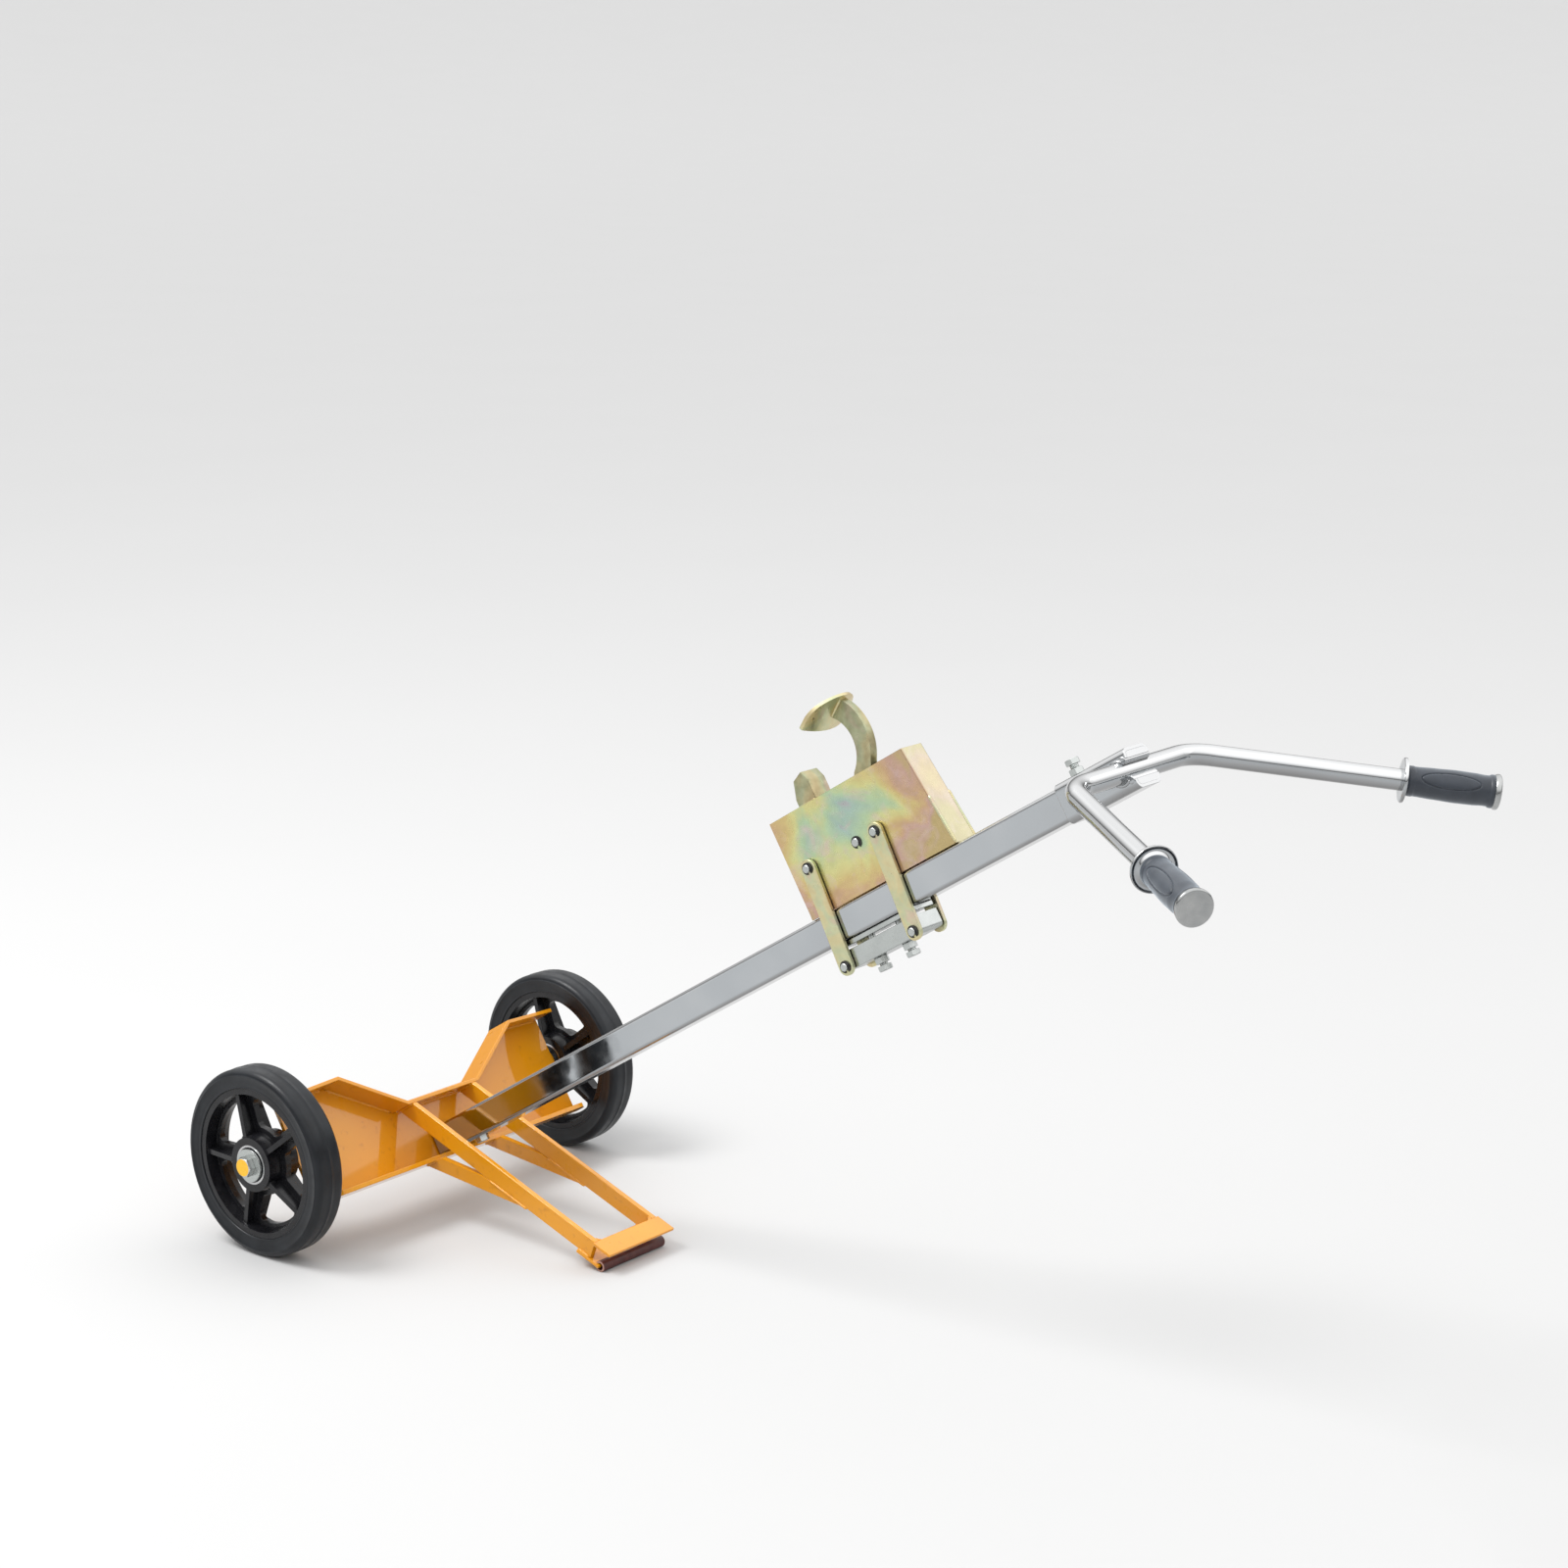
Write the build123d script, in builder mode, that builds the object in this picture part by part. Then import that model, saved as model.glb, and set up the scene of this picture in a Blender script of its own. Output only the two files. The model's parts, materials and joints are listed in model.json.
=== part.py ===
from build123d import *
from math import asin, atan2, cos, degrees, hypot, radians, sin, sqrt
import os

# Wheels and axle
WHEEL_R = 125.0
TYRE_DEPTH = 25.0
TYRE_WIDTH = 45.0
TYRE_SHOULDER = 9.0
TRACK = 560.0
RIM_WIDTH = 40.0
RIM_WALL = 8.0
RIM_DRAFT = 4.0
HUB_R = 36.0
HUB_LENGTH = 50.0
HUB_DRAFT = 2.0
SPOKES = 5
SPOKE_PHASE = 38.5
SPOKE_WIDTH = 24.0
SPOKE_WEB = 9.0
SPOKE_RIB = 7.0
RIB_HUB_DEPTH = 45.0
RIB_RIM_DEPTH = 32.0
WINDOW_CORNER = 9.0
AXLE_R = 12.5
AXLE_SHORT = 0.5
BEARING_R = 26.0
BEARING_WIDTH = 15.0
BALL_R = 3.95
BALLS = 9
RACE_GAP = 0.05
RING_SHOULDER = 2.6
SEAL_THICKNESS = 0.6
SEAL_LAP = 1.6
BOSS_LENGTH = 70.0
WASHER_R = 17.0
WASHER_THICKNESS = 2.5
END_WASHER_R = 22.0
END_WASHER_PLATE = 3.0
END_WASHER_STEP = 1.0
WHEEL_BOLT_R = 8.0
WHEEL_BOLT_FLATS = 24.0
WHEEL_BOLT_HEAD = 10.0
WHEEL_BOLT_LENGTH = 40.0

# Cross beam, square to the mast
MAST_ANGLE = 31.9
BEAM_LENGTH = 494.0
AXLE_GAP = 1.5
WEB_THICKNESS = 6.0
FLANGE_WIDTH = 37.0
FLANGE_THICKNESS = 6.0
FLANGE_CLIP = 18.0
BEND_RADIUS = 9.0
STRIP_THICKNESS = 5.0
CRADLE_LOW = 5.0
CRADLE_HIGH = 66.0
CRADLE_FLAT = 130.0
CRADLE_WIDTH = 322.0
WING_DROP = 3.0

# Prop stand
LEG_SPACING = 112.0
LEG_THICKNESS = 8.0
LEG_HEIGHT = 25.0
STRUT_HEIGHT = 20.0
STRUT_START = 34.0
STRUT_REACH = 228.0
FOOT_REACH = 382.0
FOOT_WIDTH = 126.0
FOOT_DEPTH = 30.0
FOOT_THICKNESS = 4.0
LIP_WIDTH = 126.0
LIP_BACK = 22.0
LIP_FRONT = 18.0
SLEEVE_LENGTH = 119.0
SLEEVE_R = 7.5
SLEEVE_WALL = 3.0
SLEEVE_FLAT = 0.5
BAR_EDGE = 1.5

# Mast
MAST_DROP = 37.0
MAST_WIDTH = 40.0
MAST_DEPTH = 40.0
MAST_WALL = 3.0
MAST_CORNER = 5.0
MAST_LENGTH = 1240.0
SPIGOT_LENGTH = 110.0
SPIGOT_WALL = 4.0
MAST_BOLT_PLACE = 70.0
BOLT_R = 5.0
BOLT_FLATS = 16.0
BOLT_HEAD = 6.4
NUT_HEIGHT = 8.0
HEX_FACE = 0.95
HEX_SLOPE = 0.58

# Handle
HANDLE_R = 12.5
HANDLE_WALL = 2.5
HANDLE_PLACE = 16.0
SOCKET_LENGTH = 105.0
SOCKET_LAP = 65.0
SOCKET_WALL = 3.9
END_PLATE = 3.0
SOCKET_BOLT_PLACE = 22.0
SOCKET_BOLT_HEIGHT = 13.0
HANDLE_BEND = 55.0
CROSSBAR = 240.0
ARM_LENGTH = 240.0
ARM_SPLAY = 35.9
ARM_DROP = 6.6
GRIP_LENGTH = 98.0
GRIP_START_R = 17.0
GRIP_MIDDLE_R = 18.5
GRIP_END_R = 19.0
GRIP_FLANGE_R = 25.5
GRIP_FLANGE_THICKNESS = 6.0
GRIP_CAP_R = 20.5
GRIP_CAP_LENGTH = 7.0

# Clamp carriage on the mast
CARRIAGE_PLACE = 774.0
CARRIAGE_LENGTH = 246.0
CARRIAGE_HEIGHT = 127.0
CARRIAGE_RAKE = 16.0
CARRIAGE_PLATE = 4.0
CARRIAGE_BEND = 2.5
PIN_R = 5.0
PIN_END = 3.5
CIRCLIP_R = 7.5
CIRCLIP_THICKNESS = 1.2
LINK_FRONT = 32.0
LINK_SPACING = 116.0
LINK_LENGTH = 125.02
LINK_WIDTH = 22.0
LINK_THICKNESS = 5.0
LINK_GAP = 1.5
LINK_LEAN = 4.1
HOOK_PIN_PLACE = 112.0
HOOK_PIN_LEVEL = 56.7
HOOK_THICKNESS = 12.0
HOOK_BOSS_R = 16.0
LIP_CURVE_R = 85.0
LIP_R = 40.0
LIP_DEPTH = 52.0
LIP_THICKNESS = 4.0
LIP_PROUD = 6.0
JAW_PLACE = 50.0
STOP_BAR_R = 5.0
STOP_BAR_PLACE = 45.0
SPACER_R = 8.0

# Beak arm: points along the mast and square to it, from the arm's own pin
NECK_INNER = (29.0, 76.0)
BELLY_INNER = (47.4, 116.5)
TIP_INNER = (32.0, 146.0)
NECK_OUTER = (59.0, 78.5)
BELLY_OUTER = (71.0, 112.0)
TIP_OUTER = (55.0, 159.0)

# Lower jaw: its outline from the box's upper edge
JAW_OUTLINE = ((0.0, -31.0), (30.0, -31.0), (30.0, 24.0), (24.0, 37.0), (8.0, 31.0), (0.0, 9.0))

# Clamp under the mast
SHOE_LENGTH = 136.0
SHOE_WIDTH = 36.0
SHOE_THICKNESS = 6.0
SHOE_TRAVEL = 4.4
CLAMP_BAR_LENGTH = 135.0
CLAMP_BAR_HEIGHT = 23.0
CLAMP_BAR_RISE = 17.0
CLAMP_BAR_ROUND = 6.0
ADJUSTER_SPACING = 48.0
ADJUSTER_STAND = 3.0
PLATE_EDGE = 0.8

# Clearances
RUN_GAP = 0.05
SEAT_GAP = 0.02
HOLE_GAP = 0.1
SLIDE_GAP = 0.3
STOP_GAP = 0.3

# Values worked out from the sizes above
RIM_R = WHEEL_R - TYRE_DEPTH
WHEEL_Y = TRACK / 2
HUB_INNER = WHEEL_Y - HUB_LENGTH / 2
HUB_OUTER = WHEEL_Y + HUB_LENGTH / 2
AXLE_END = HUB_OUTER - AXLE_SHORT
BOLT_SEAT = HUB_OUTER + END_WASHER_STEP + END_WASHER_PLATE
BOSS_END = HUB_INNER - WASHER_THICKNESS
WEB_BACK = AXLE_R + AXLE_GAP
WEB_FRONT = WEB_BACK + WEB_THICKNESS
BOSS_R = WEB_BACK + WEB_THICKNESS / 2
FLANGE_EDGE = WEB_FRONT + FLANGE_WIDTH
STRIP_UNDER = CRADLE_LOW - STRIP_THICKNESS
MAST_TOP_W = -MAST_DROP
MAST_MID_W = MAST_TOP_W - MAST_DEPTH / 2
MAST_UNDER_W = MAST_TOP_W - MAST_DEPTH
MAST_FOOT = WEB_FRONT + BEND_RADIUS - FLANGE_THICKNESS
MAST_END = MAST_FOOT + MAST_LENGTH
SOCKET_START = MAST_END - SOCKET_LAP
SOCKET_END = SOCKET_START + SOCKET_LENGTH
BAR_S = SOCKET_END - HANDLE_PLACE
TILT = radians(MAST_ANGLE)
SPLAY = radians(ARM_SPLAY)
DROP = radians(ARM_DROP)
ARM_X = cos(DROP) * cos(SPLAY)
ARM_Y = cos(DROP) * sin(SPLAY)
ARM_Z = -sin(DROP)
ARM_TOTAL = ARM_LENGTH + GRIP_FLANGE_THICKNESS + GRIP_LENGTH + GRIP_CAP_LENGTH

# The origin lies under the middle of the whole length, so the axle stands behind it
REACH = BAR_S * cos(TILT) - MAST_MID_W * sin(TILT) + ARM_TOTAL * ARM_X + GRIP_CAP_R * sqrt(1 - ARM_X ** 2)
AXLE = Vector((WHEEL_R - REACH) / 2, 0, WHEEL_R)
ALONG = Vector(cos(TILT), 0, sin(TILT))
SQUARE = Vector(-sin(TILT), 0, cos(TILT))
ACROSS = Vector(0, 1, 0)

# Names of the two sides as the operator sees them, with the sign of Y
SIDES = (("left", -1), ("right", 1))

os.makedirs("parts", exist_ok=True)


def save(part, label):
    part.label = label
    export_step(part, f"parts/{label}.step")


def on_mast(s, w, y=0.0):
    """A point s along the mast from the axle, w square to it and y across."""
    return AXLE + ALONG * s + SQUARE * w + ACROSS * y


def side_plane(s=0.0, w=0.0, y=0.0):
    """Seen from the left: x runs up the mast and y square to it."""
    return Plane(origin=on_mast(s, w, y), x_dir=ALONG, z_dir=(0, -1, 0))


def cross_plane(s, w=0.0):
    """Square to the mast: x runs across and y away from the ground."""
    return Plane(origin=on_mast(s, w), x_dir=ACROSS, z_dir=ALONG)


def post_plane(s, w, y=0.0):
    """Parallel to the mast's upper face, for bolts that stand on it."""
    return Plane(origin=on_mast(s, w, y), x_dir=ALONG, z_dir=SQUARE)


def wheel_plane(y, turn=1):
    """Square to the axle, facing right for turn 1 and left for turn -1."""
    return Plane(origin=AXLE + ACROSS * y, x_dir=(1, 0, 0), z_dir=(0, turn, 0))


def radial_plane(y):
    """Through the axle: x runs along it to the right and y is the radius."""
    return Plane(origin=AXLE + ACROSS * y, x_dir=ACROSS, z_dir=(1, 0, 0))


def offset_points(points, distance):
    """An outline's lower side at a wall's thickness, with mitred corners and upright ends."""
    slopes = [atan2(q[1] - p[1], q[0] - p[0]) for p, q in zip(points, points[1:])]
    moved = [(points[0][0], points[0][1] - distance / cos(slopes[0]))]
    for (x, y), a, b in zip(points[1:], slopes, slopes[1:]):
        middle = (a + b) / 2
        reach = distance / cos((b - a) / 2)
        moved.append((x + reach * sin(middle), y - reach * cos(middle)))
    moved.append((points[-1][0], points[-1][1] - distance / cos(slopes[-1])))
    return moved


def hex_prism(plane, height, bore=0.0, flats=BOLT_FLATS):
    """A nut, or a bolt's head where it has no bore, with its upper corners turned off."""
    corner_r = flats / sqrt(3)
    face_r = flats / 2 * HEX_FACE
    turned_off = (corner_r - face_r) * HEX_SLOPE
    with BuildPart() as prism:
        with BuildSketch(Plane(origin=plane.origin, x_dir=plane.x_dir, z_dir=-plane.y_dir)):
            Polygon(
                (0, 0),
                (corner_r, 0),
                (corner_r, height - turned_off),
                (face_r, height),
                (0, height),
                align=None,
            )
        revolve(axis=Axis(plane.origin, plane.z_dir))
        with BuildSketch(plane):
            RegularPolygon(flats / 2, 6, major_radius=False)
        extrude(amount=height, mode=Mode.INTERSECT)
        if bore:
            with BuildSketch(plane):
                Circle(bore)
            extrude(amount=height, mode=Mode.SUBTRACT)
    return prism.part


def hex_bolt(plane, length, radius=BOLT_R, flats=BOLT_FLATS, head=BOLT_HEAD):
    """A head that stands on the plane, with its shank going the other way."""
    with BuildPart() as bolt:
        add(hex_prism(plane, head, flats=flats))
        with BuildSketch(plane):
            Circle(radius)
        extrude(amount=-length)
    return bolt.part


def pin(s, w, half_length, radius):
    """A round pin across the truck, with chamfered ends."""
    with BuildPart() as body:
        with BuildSketch(side_plane(s, w)):
            Circle(radius)
        extrude(amount=half_length, both=True)
        chamfer(body.edges().filter_by(GeomType.CIRCLE), radius / 8)
    return body.part


def circlip(s, w, y):
    """A spring clip round a pin, open at its lower side."""
    with BuildPart() as clip:
        with BuildSketch(side_plane(s, w, y)):
            Circle(CIRCLIP_R)
            Circle(PIN_R + SEAT_GAP, mode=Mode.SUBTRACT)
            with Locations((0, -CIRCLIP_R)):
                Rectangle(PIN_R, CIRCLIP_R, mode=Mode.SUBTRACT)
        extrude(amount=CIRCLIP_THICKNESS / 2, both=True)
    return clip.part


# Cross beam: a web with its lower edge folded forward
beam_half = BEAM_LENGTH / 2
flange_under = MAST_UNDER_W - FLANGE_THICKNESS
cradle_top = [
    (-beam_half, CRADLE_HIGH - WING_DROP),
    (-CRADLE_WIDTH / 2, CRADLE_HIGH),
    (-CRADLE_FLAT / 2, CRADLE_LOW),
    (CRADLE_FLAT / 2, CRADLE_LOW),
    (CRADLE_WIDTH / 2, CRADLE_HIGH),
    (beam_half, CRADLE_HIGH - WING_DROP),
]
cradle_under = offset_points(cradle_top, STRIP_THICKNESS)

with BuildPart() as cross_beam:
    with BuildSketch(cross_plane(WEB_BACK)):
        Polygon(*cradle_under, (beam_half, flange_under), (-beam_half, flange_under), align=None)
    extrude(amount=WEB_THICKNESS)
    with BuildSketch(post_plane(WEB_BACK, flange_under)):
        flange_reach = FLANGE_EDGE - WEB_BACK
        Polygon(
            (0, -beam_half),
            (flange_reach - FLANGE_CLIP, -beam_half),
            (flange_reach, FLANGE_CLIP - beam_half),
            (flange_reach, beam_half - FLANGE_CLIP),
            (flange_reach - FLANGE_CLIP, beam_half),
            (0, beam_half),
            align=None,
        )
    extrude(amount=FLANGE_THICKNESS)
    outer_bend = cross_beam.edges().filter_by(Axis.Y).sort_by_distance(on_mast(WEB_BACK, flange_under))[0]
    fillet(outer_bend, BEND_RADIUS)
    inner_bend = cross_beam.edges().filter_by(Axis.Y).sort_by_distance(on_mast(WEB_FRONT, MAST_UNDER_W))[0]
    fillet(inner_bend, BEND_RADIUS - FLANGE_THICKNESS)
    for _, turn in SIDES:
        with BuildSketch(wheel_plane(turn * (BOSS_END - BOSS_LENGTH - HOLE_GAP), turn)):
            Circle(BOSS_R + HOLE_GAP)
        extrude(amount=BOSS_LENGTH, mode=Mode.SUBTRACT)
save(cross_beam.part, "cross_beam")

with BuildPart() as cradle_strip:
    with BuildSketch(cross_plane(WEB_BACK)):
        Polygon(*cradle_top, *reversed(cradle_under), align=None)
    extrude(amount=FLANGE_EDGE - WEB_BACK)
    fillet(cradle_strip.faces().sort_by(Axis(AXLE, ALONG))[-1].edges(), PLATE_EDGE)
save(cradle_strip.part, "cradle_strip")

# Axle behind the web, with a boss at each end of the beam
with BuildPart() as axle:
    with BuildSketch(wheel_plane(0)):
        Circle(AXLE_R)
    extrude(amount=AXLE_END, both=True)
    chamfer(axle.edges().filter_by(GeomType.CIRCLE), AXLE_R / 8)
    for _, turn in SIDES:
        with BuildSketch(wheel_plane(turn * BOLT_SEAT, turn)):
            Circle(WHEEL_BOLT_R + SEAT_GAP)
        extrude(amount=-(WHEEL_BOLT_LENGTH + WHEEL_BOLT_R), mode=Mode.SUBTRACT)
save(axle.part, "axle")

for side, turn in SIDES:
    with BuildPart() as boss:
        with BuildSketch(wheel_plane(turn * (BOSS_END - BOSS_LENGTH), turn)):
            Circle(BOSS_R)
            Circle(AXLE_R + SEAT_GAP, mode=Mode.SUBTRACT)
        extrude(amount=BOSS_LENGTH)
        chamfer(boss.edges().filter_by(GeomType.CIRCLE).sort_by(SortBy.RADIUS)[-2:], WASHER_THICKNESS / 2)
    save(boss.part, f"{side}_axle_boss")

with BuildPart() as axle_washers:
    for _, turn in SIDES:
        with BuildSketch(wheel_plane(turn * BOSS_END, turn)):
            Circle(WASHER_R)
            Circle(AXLE_R + HOLE_GAP, mode=Mode.SUBTRACT)
        extrude(amount=WASHER_THICKNESS)
save(axle_washers.part, "axle_washers")

# Stepped washers hold the bearings on the axle, under a bolt at each end
with BuildPart() as end_washers:
    for _, turn in SIDES:
        with BuildSketch(wheel_plane(turn * HUB_OUTER, turn)):
            Circle(WASHER_R)
            Circle(WHEEL_BOLT_R + HOLE_GAP, mode=Mode.SUBTRACT)
        extrude(amount=END_WASHER_STEP)
        with BuildSketch(wheel_plane(turn * (HUB_OUTER + END_WASHER_STEP), turn)):
            Circle(END_WASHER_R)
            Circle(WHEEL_BOLT_R + HOLE_GAP, mode=Mode.SUBTRACT)
        extrude(amount=END_WASHER_PLATE)
save(end_washers.part, "end_washers")

with BuildPart() as wheel_bolts:
    for _, turn in SIDES:
        bolt_plane = wheel_plane(turn * BOLT_SEAT, turn)
        add(hex_bolt(bolt_plane, WHEEL_BOLT_LENGTH, WHEEL_BOLT_R, WHEEL_BOLT_FLATS, WHEEL_BOLT_HEAD))
save(wheel_bolts.part, "wheel_bolts")

# Ball bearings: two to a wheel, their outer faces level with the hub's ends
pitch_r = (AXLE_R + BEARING_R) / 2
race_r = BALL_R + RACE_GAP
shoulder_in = pitch_r - RING_SHOULDER
shoulder_out = pitch_r + RING_SHOULDER
seal_r = shoulder_out + SEAL_LAP
seal_seat = 2 * SEAL_THICKNESS
bearing_offset = (HUB_LENGTH - BEARING_WIDTH) / 2


def ring(y, inner, outer):
    """A bearing ring with the balls' groove in it."""
    with BuildPart() as body:
        with BuildSketch(radial_plane(y)):
            with Locations((0, (inner + outer) / 2)):
                Rectangle(BEARING_WIDTH, outer - inner)
            with Locations((0, pitch_r)):
                Circle(race_r, mode=Mode.SUBTRACT)
        revolve(axis=Axis(AXLE, (0, 1, 0)))
    return body.part


with BuildPart() as bearing_inner_rings:
    for _, turn in SIDES:
        for offset_y in (-bearing_offset, bearing_offset):
            add(ring(turn * WHEEL_Y + offset_y, AXLE_R + SEAT_GAP, shoulder_in))
save(bearing_inner_rings.part, "bearing_inner_rings")


def window_outline():
    """One opening between two spokes, round which the web's edge is rounded."""
    inner = HUB_R + SPOKE_WEB
    outer = RIM_R - RIM_WALL - RIM_DRAFT - SPOKE_WEB / 2
    half_turn = radians(180 / SPOKES)
    half = SPOKE_WIDTH / 2
    low = asin(half / inner)
    high = asin(half / outer)
    corners = [
        (inner * cos(low - half_turn), inner * sin(low - half_turn)),
        (outer * cos(high - half_turn), outer * sin(high - half_turn)),
        (outer * cos(half_turn - high), outer * sin(half_turn - high)),
        (inner * cos(half_turn - low), inner * sin(half_turn - low)),
    ]
    with BuildSketch() as outline:
        with BuildLine():
            Line(corners[0], corners[1])
            ThreePointArc(corners[1], (outer, 0), corners[2])
            Line(corners[2], corners[3])
            ThreePointArc(corners[3], (inner, 0), corners[0])
        make_face()
        fillet(outline.vertices(), WINDOW_CORNER)
    return outline.sketch


WINDOW = window_outline()

for side, turn in SIDES:
    wheel_y = turn * WHEEL_Y
    hub_half = HUB_LENGTH / 2
    rim_half = RIM_WIDTH / 2
    rim_inner = RIM_R - RIM_WALL
    web_half = SPOKE_WEB / 2

    # Cast wheel: rim, hub and web turned as one, with ribs and windows
    with BuildPart() as wheel:
        with BuildSketch(radial_plane(wheel_y)):
            Polygon(
                (-rim_half, RIM_R),
                (rim_half, RIM_R),
                (rim_half, rim_inner),
                (web_half, rim_inner - RIM_DRAFT),
                (web_half, HUB_R + HUB_DRAFT),
                (hub_half, HUB_R),
                (hub_half, pitch_r + RING_SHOULDER),
                (-hub_half, pitch_r + RING_SHOULDER),
                (-hub_half, HUB_R),
                (-web_half, HUB_R + HUB_DRAFT),
                (-web_half, rim_inner - RIM_DRAFT),
                (-rim_half, rim_inner),
                align=None,
            )
        revolve(axis=Axis(AXLE, (0, 1, 0)))
        for k in range(SPOKES):
            angle = radians(SPOKE_PHASE + 360 / SPOKES * k)
            outward = Vector(cos(angle), 0, sin(angle))
            centre = AXLE + ACROSS * wheel_y
            with BuildSketch(Plane(origin=centre, x_dir=outward, z_dir=outward.cross(ACROSS))):
                Polygon(
                    (HUB_R - HUB_DRAFT, -RIB_HUB_DEPTH / 2),
                    (HUB_R - HUB_DRAFT, RIB_HUB_DEPTH / 2),
                    (rim_inner, RIB_RIM_DEPTH / 2),
                    (rim_inner, -RIB_RIM_DEPTH / 2),
                    align=None,
                )
            extrude(amount=SPOKE_RIB / 2, both=True)
        with BuildSketch(wheel_plane(wheel_y, -1)):
            with PolarLocations(0, SPOKES, start_angle=SPOKE_PHASE + 180 / SPOKES):
                add(WINDOW)
        extrude(amount=SPOKE_WEB, both=True, mode=Mode.SUBTRACT)
        for end in (-1, 1):
            with BuildSketch(wheel_plane(wheel_y + end * (hub_half - BEARING_WIDTH), end)):
                Circle(BEARING_R + SEAT_GAP)
            extrude(amount=BEARING_WIDTH, mode=Mode.SUBTRACT)
    save(wheel.part, f"{side}_wheel")

    # Solid tyre that grips the rim's edges
    tyre_half = TYRE_WIDTH / 2
    with BuildPart() as tyre:
        with BuildSketch(radial_plane(wheel_y)) as tyre_section:
            Polygon(
                (-rim_half, RIM_R + SEAT_GAP),
                (rim_half, RIM_R + SEAT_GAP),
                (tyre_half, RIM_R + TYRE_SHOULDER / 2),
                (tyre_half, WHEEL_R),
                (-tyre_half, WHEEL_R),
                (-tyre_half, RIM_R + TYRE_SHOULDER / 2),
                align=None,
            )
            fillet(tyre_section.vertices().sort_by(Axis.Y)[-2:], TYRE_SHOULDER)
        revolve(axis=Axis(AXLE, (0, 1, 0)))
    save(tyre.part, f"{side}_tyre")

    # Outer rings, stepped at both faces for the seals
    with BuildPart() as outer_rings:
        for offset_y in (-bearing_offset, bearing_offset):
            add(ring(wheel_y + offset_y, shoulder_out, BEARING_R))
            for end in (-1, 1):
                face_y = wheel_y + offset_y + end * BEARING_WIDTH / 2
                with BuildSketch(wheel_plane(face_y, end)):
                    Circle(seal_r)
                extrude(amount=-seal_seat, mode=Mode.SUBTRACT)
    save(outer_rings.part, f"{side}_bearing_outer_rings")

    with BuildPart() as balls:
        for offset_y in (-bearing_offset, bearing_offset):
            with Locations(wheel_plane(wheel_y + offset_y)):
                with PolarLocations(pitch_r, BALLS):
                    Sphere(BALL_R)
    save(balls.part, f"{side}_bearing_balls")

    with BuildPart() as seals:
        for offset_y in (-bearing_offset, bearing_offset):
            for end in (-1, 1):
                seal_y = wheel_y + offset_y + end * (BEARING_WIDTH / 2 - seal_seat)
                with BuildSketch(wheel_plane(seal_y, end)):
                    Circle(seal_r)
                    Circle(shoulder_in + SLIDE_GAP, mode=Mode.SUBTRACT)
                extrude(amount=SEAL_THICKNESS)
    save(seals.part, f"{side}_bearing_seals")

# Prop stand, drawn in the upright plane through the mast
sleeve_z = SLEEVE_R - SLEEVE_FLAT
leg_top = on_mast(FLANGE_EDGE, STRIP_UNDER)
foot = Vector(AXLE.X + FOOT_REACH, 0, sleeve_z)
span = hypot(foot.X - leg_top.X, leg_top.Z - foot.Z)
leg_stack = LEG_HEIGHT + FOOT_THICKNESS / 2
leg_slope = atan2(leg_top.Z - foot.Z, foot.X - leg_top.X) - asin(leg_stack / span)
LEG_RUN = Vector(cos(leg_slope), 0, -sin(leg_slope))
LEG_UP = Vector(sin(leg_slope), 0, cos(leg_slope))
leg_length = sqrt(span ** 2 - leg_stack ** 2) - LIP_FRONT
leg_end = leg_top + LEG_RUN * leg_length
leg_under = leg_top - ALONG * (LEG_HEIGHT / sin(TILT + leg_slope))

strut_low = on_mast(STRUT_START, flange_under)
strut_tip = leg_top + LEG_RUN * STRUT_REACH - LEG_UP * LEG_HEIGHT
strut_slope = atan2(strut_low.Z - strut_tip.Z, strut_tip.X - strut_low.X)
strut_high = strut_low + ALONG * (STRUT_HEIGHT / sin(TILT + strut_slope))
strut_heel = strut_tip - LEG_RUN * (STRUT_HEIGHT / sin(leg_slope - strut_slope))


def upright_bar(points, y, thickness, label, edge=0.0):
    """A flat piece cut to an outline in the upright plane and centred on y."""
    with BuildPart() as bar:
        with BuildSketch(Plane(origin=(0, y, 0), x_dir=(1, 0, 0), z_dir=(0, -1, 0))):
            Polygon(*[(p.X, p.Z) for p in points], align=None)
        extrude(amount=thickness / 2, both=True)
        if edge:
            run = Axis(points[0], points[1] - points[0])
            fillet(bar.edges().filter_by(run), edge)
    save(bar.part, label)


for side, turn in SIDES:
    leg_outline = [leg_top, leg_end, leg_end - LEG_UP * LEG_HEIGHT, leg_under]
    upright_bar(leg_outline, turn * LEG_SPACING / 2, LEG_THICKNESS, f"{side}_leg", BAR_EDGE)
    strut_outline = [strut_low, strut_tip, strut_heel, strut_high]
    upright_bar(strut_outline, turn * LEG_SPACING / 2, LEG_THICKNESS, f"{side}_strut")

plate_front = leg_end + LEG_RUN * FOOT_DEPTH
plate_drop = LEG_UP * FOOT_THICKNESS
plate_outline = [leg_end, plate_front, plate_front - plate_drop, leg_end - plate_drop]
upright_bar(plate_outline, 0, FOOT_WIDTH, "foot_plate")

lip_back = leg_end - LEG_UP * LEG_HEIGHT - LEG_RUN * LIP_BACK
lip_front = leg_end - LEG_UP * LEG_HEIGHT + LEG_RUN * LIP_FRONT
lip_outline = [lip_back, lip_front, lip_front - plate_drop, lip_back - plate_drop]
upright_bar(lip_outline, 0, LIP_WIDTH, "foot_lip")

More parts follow.
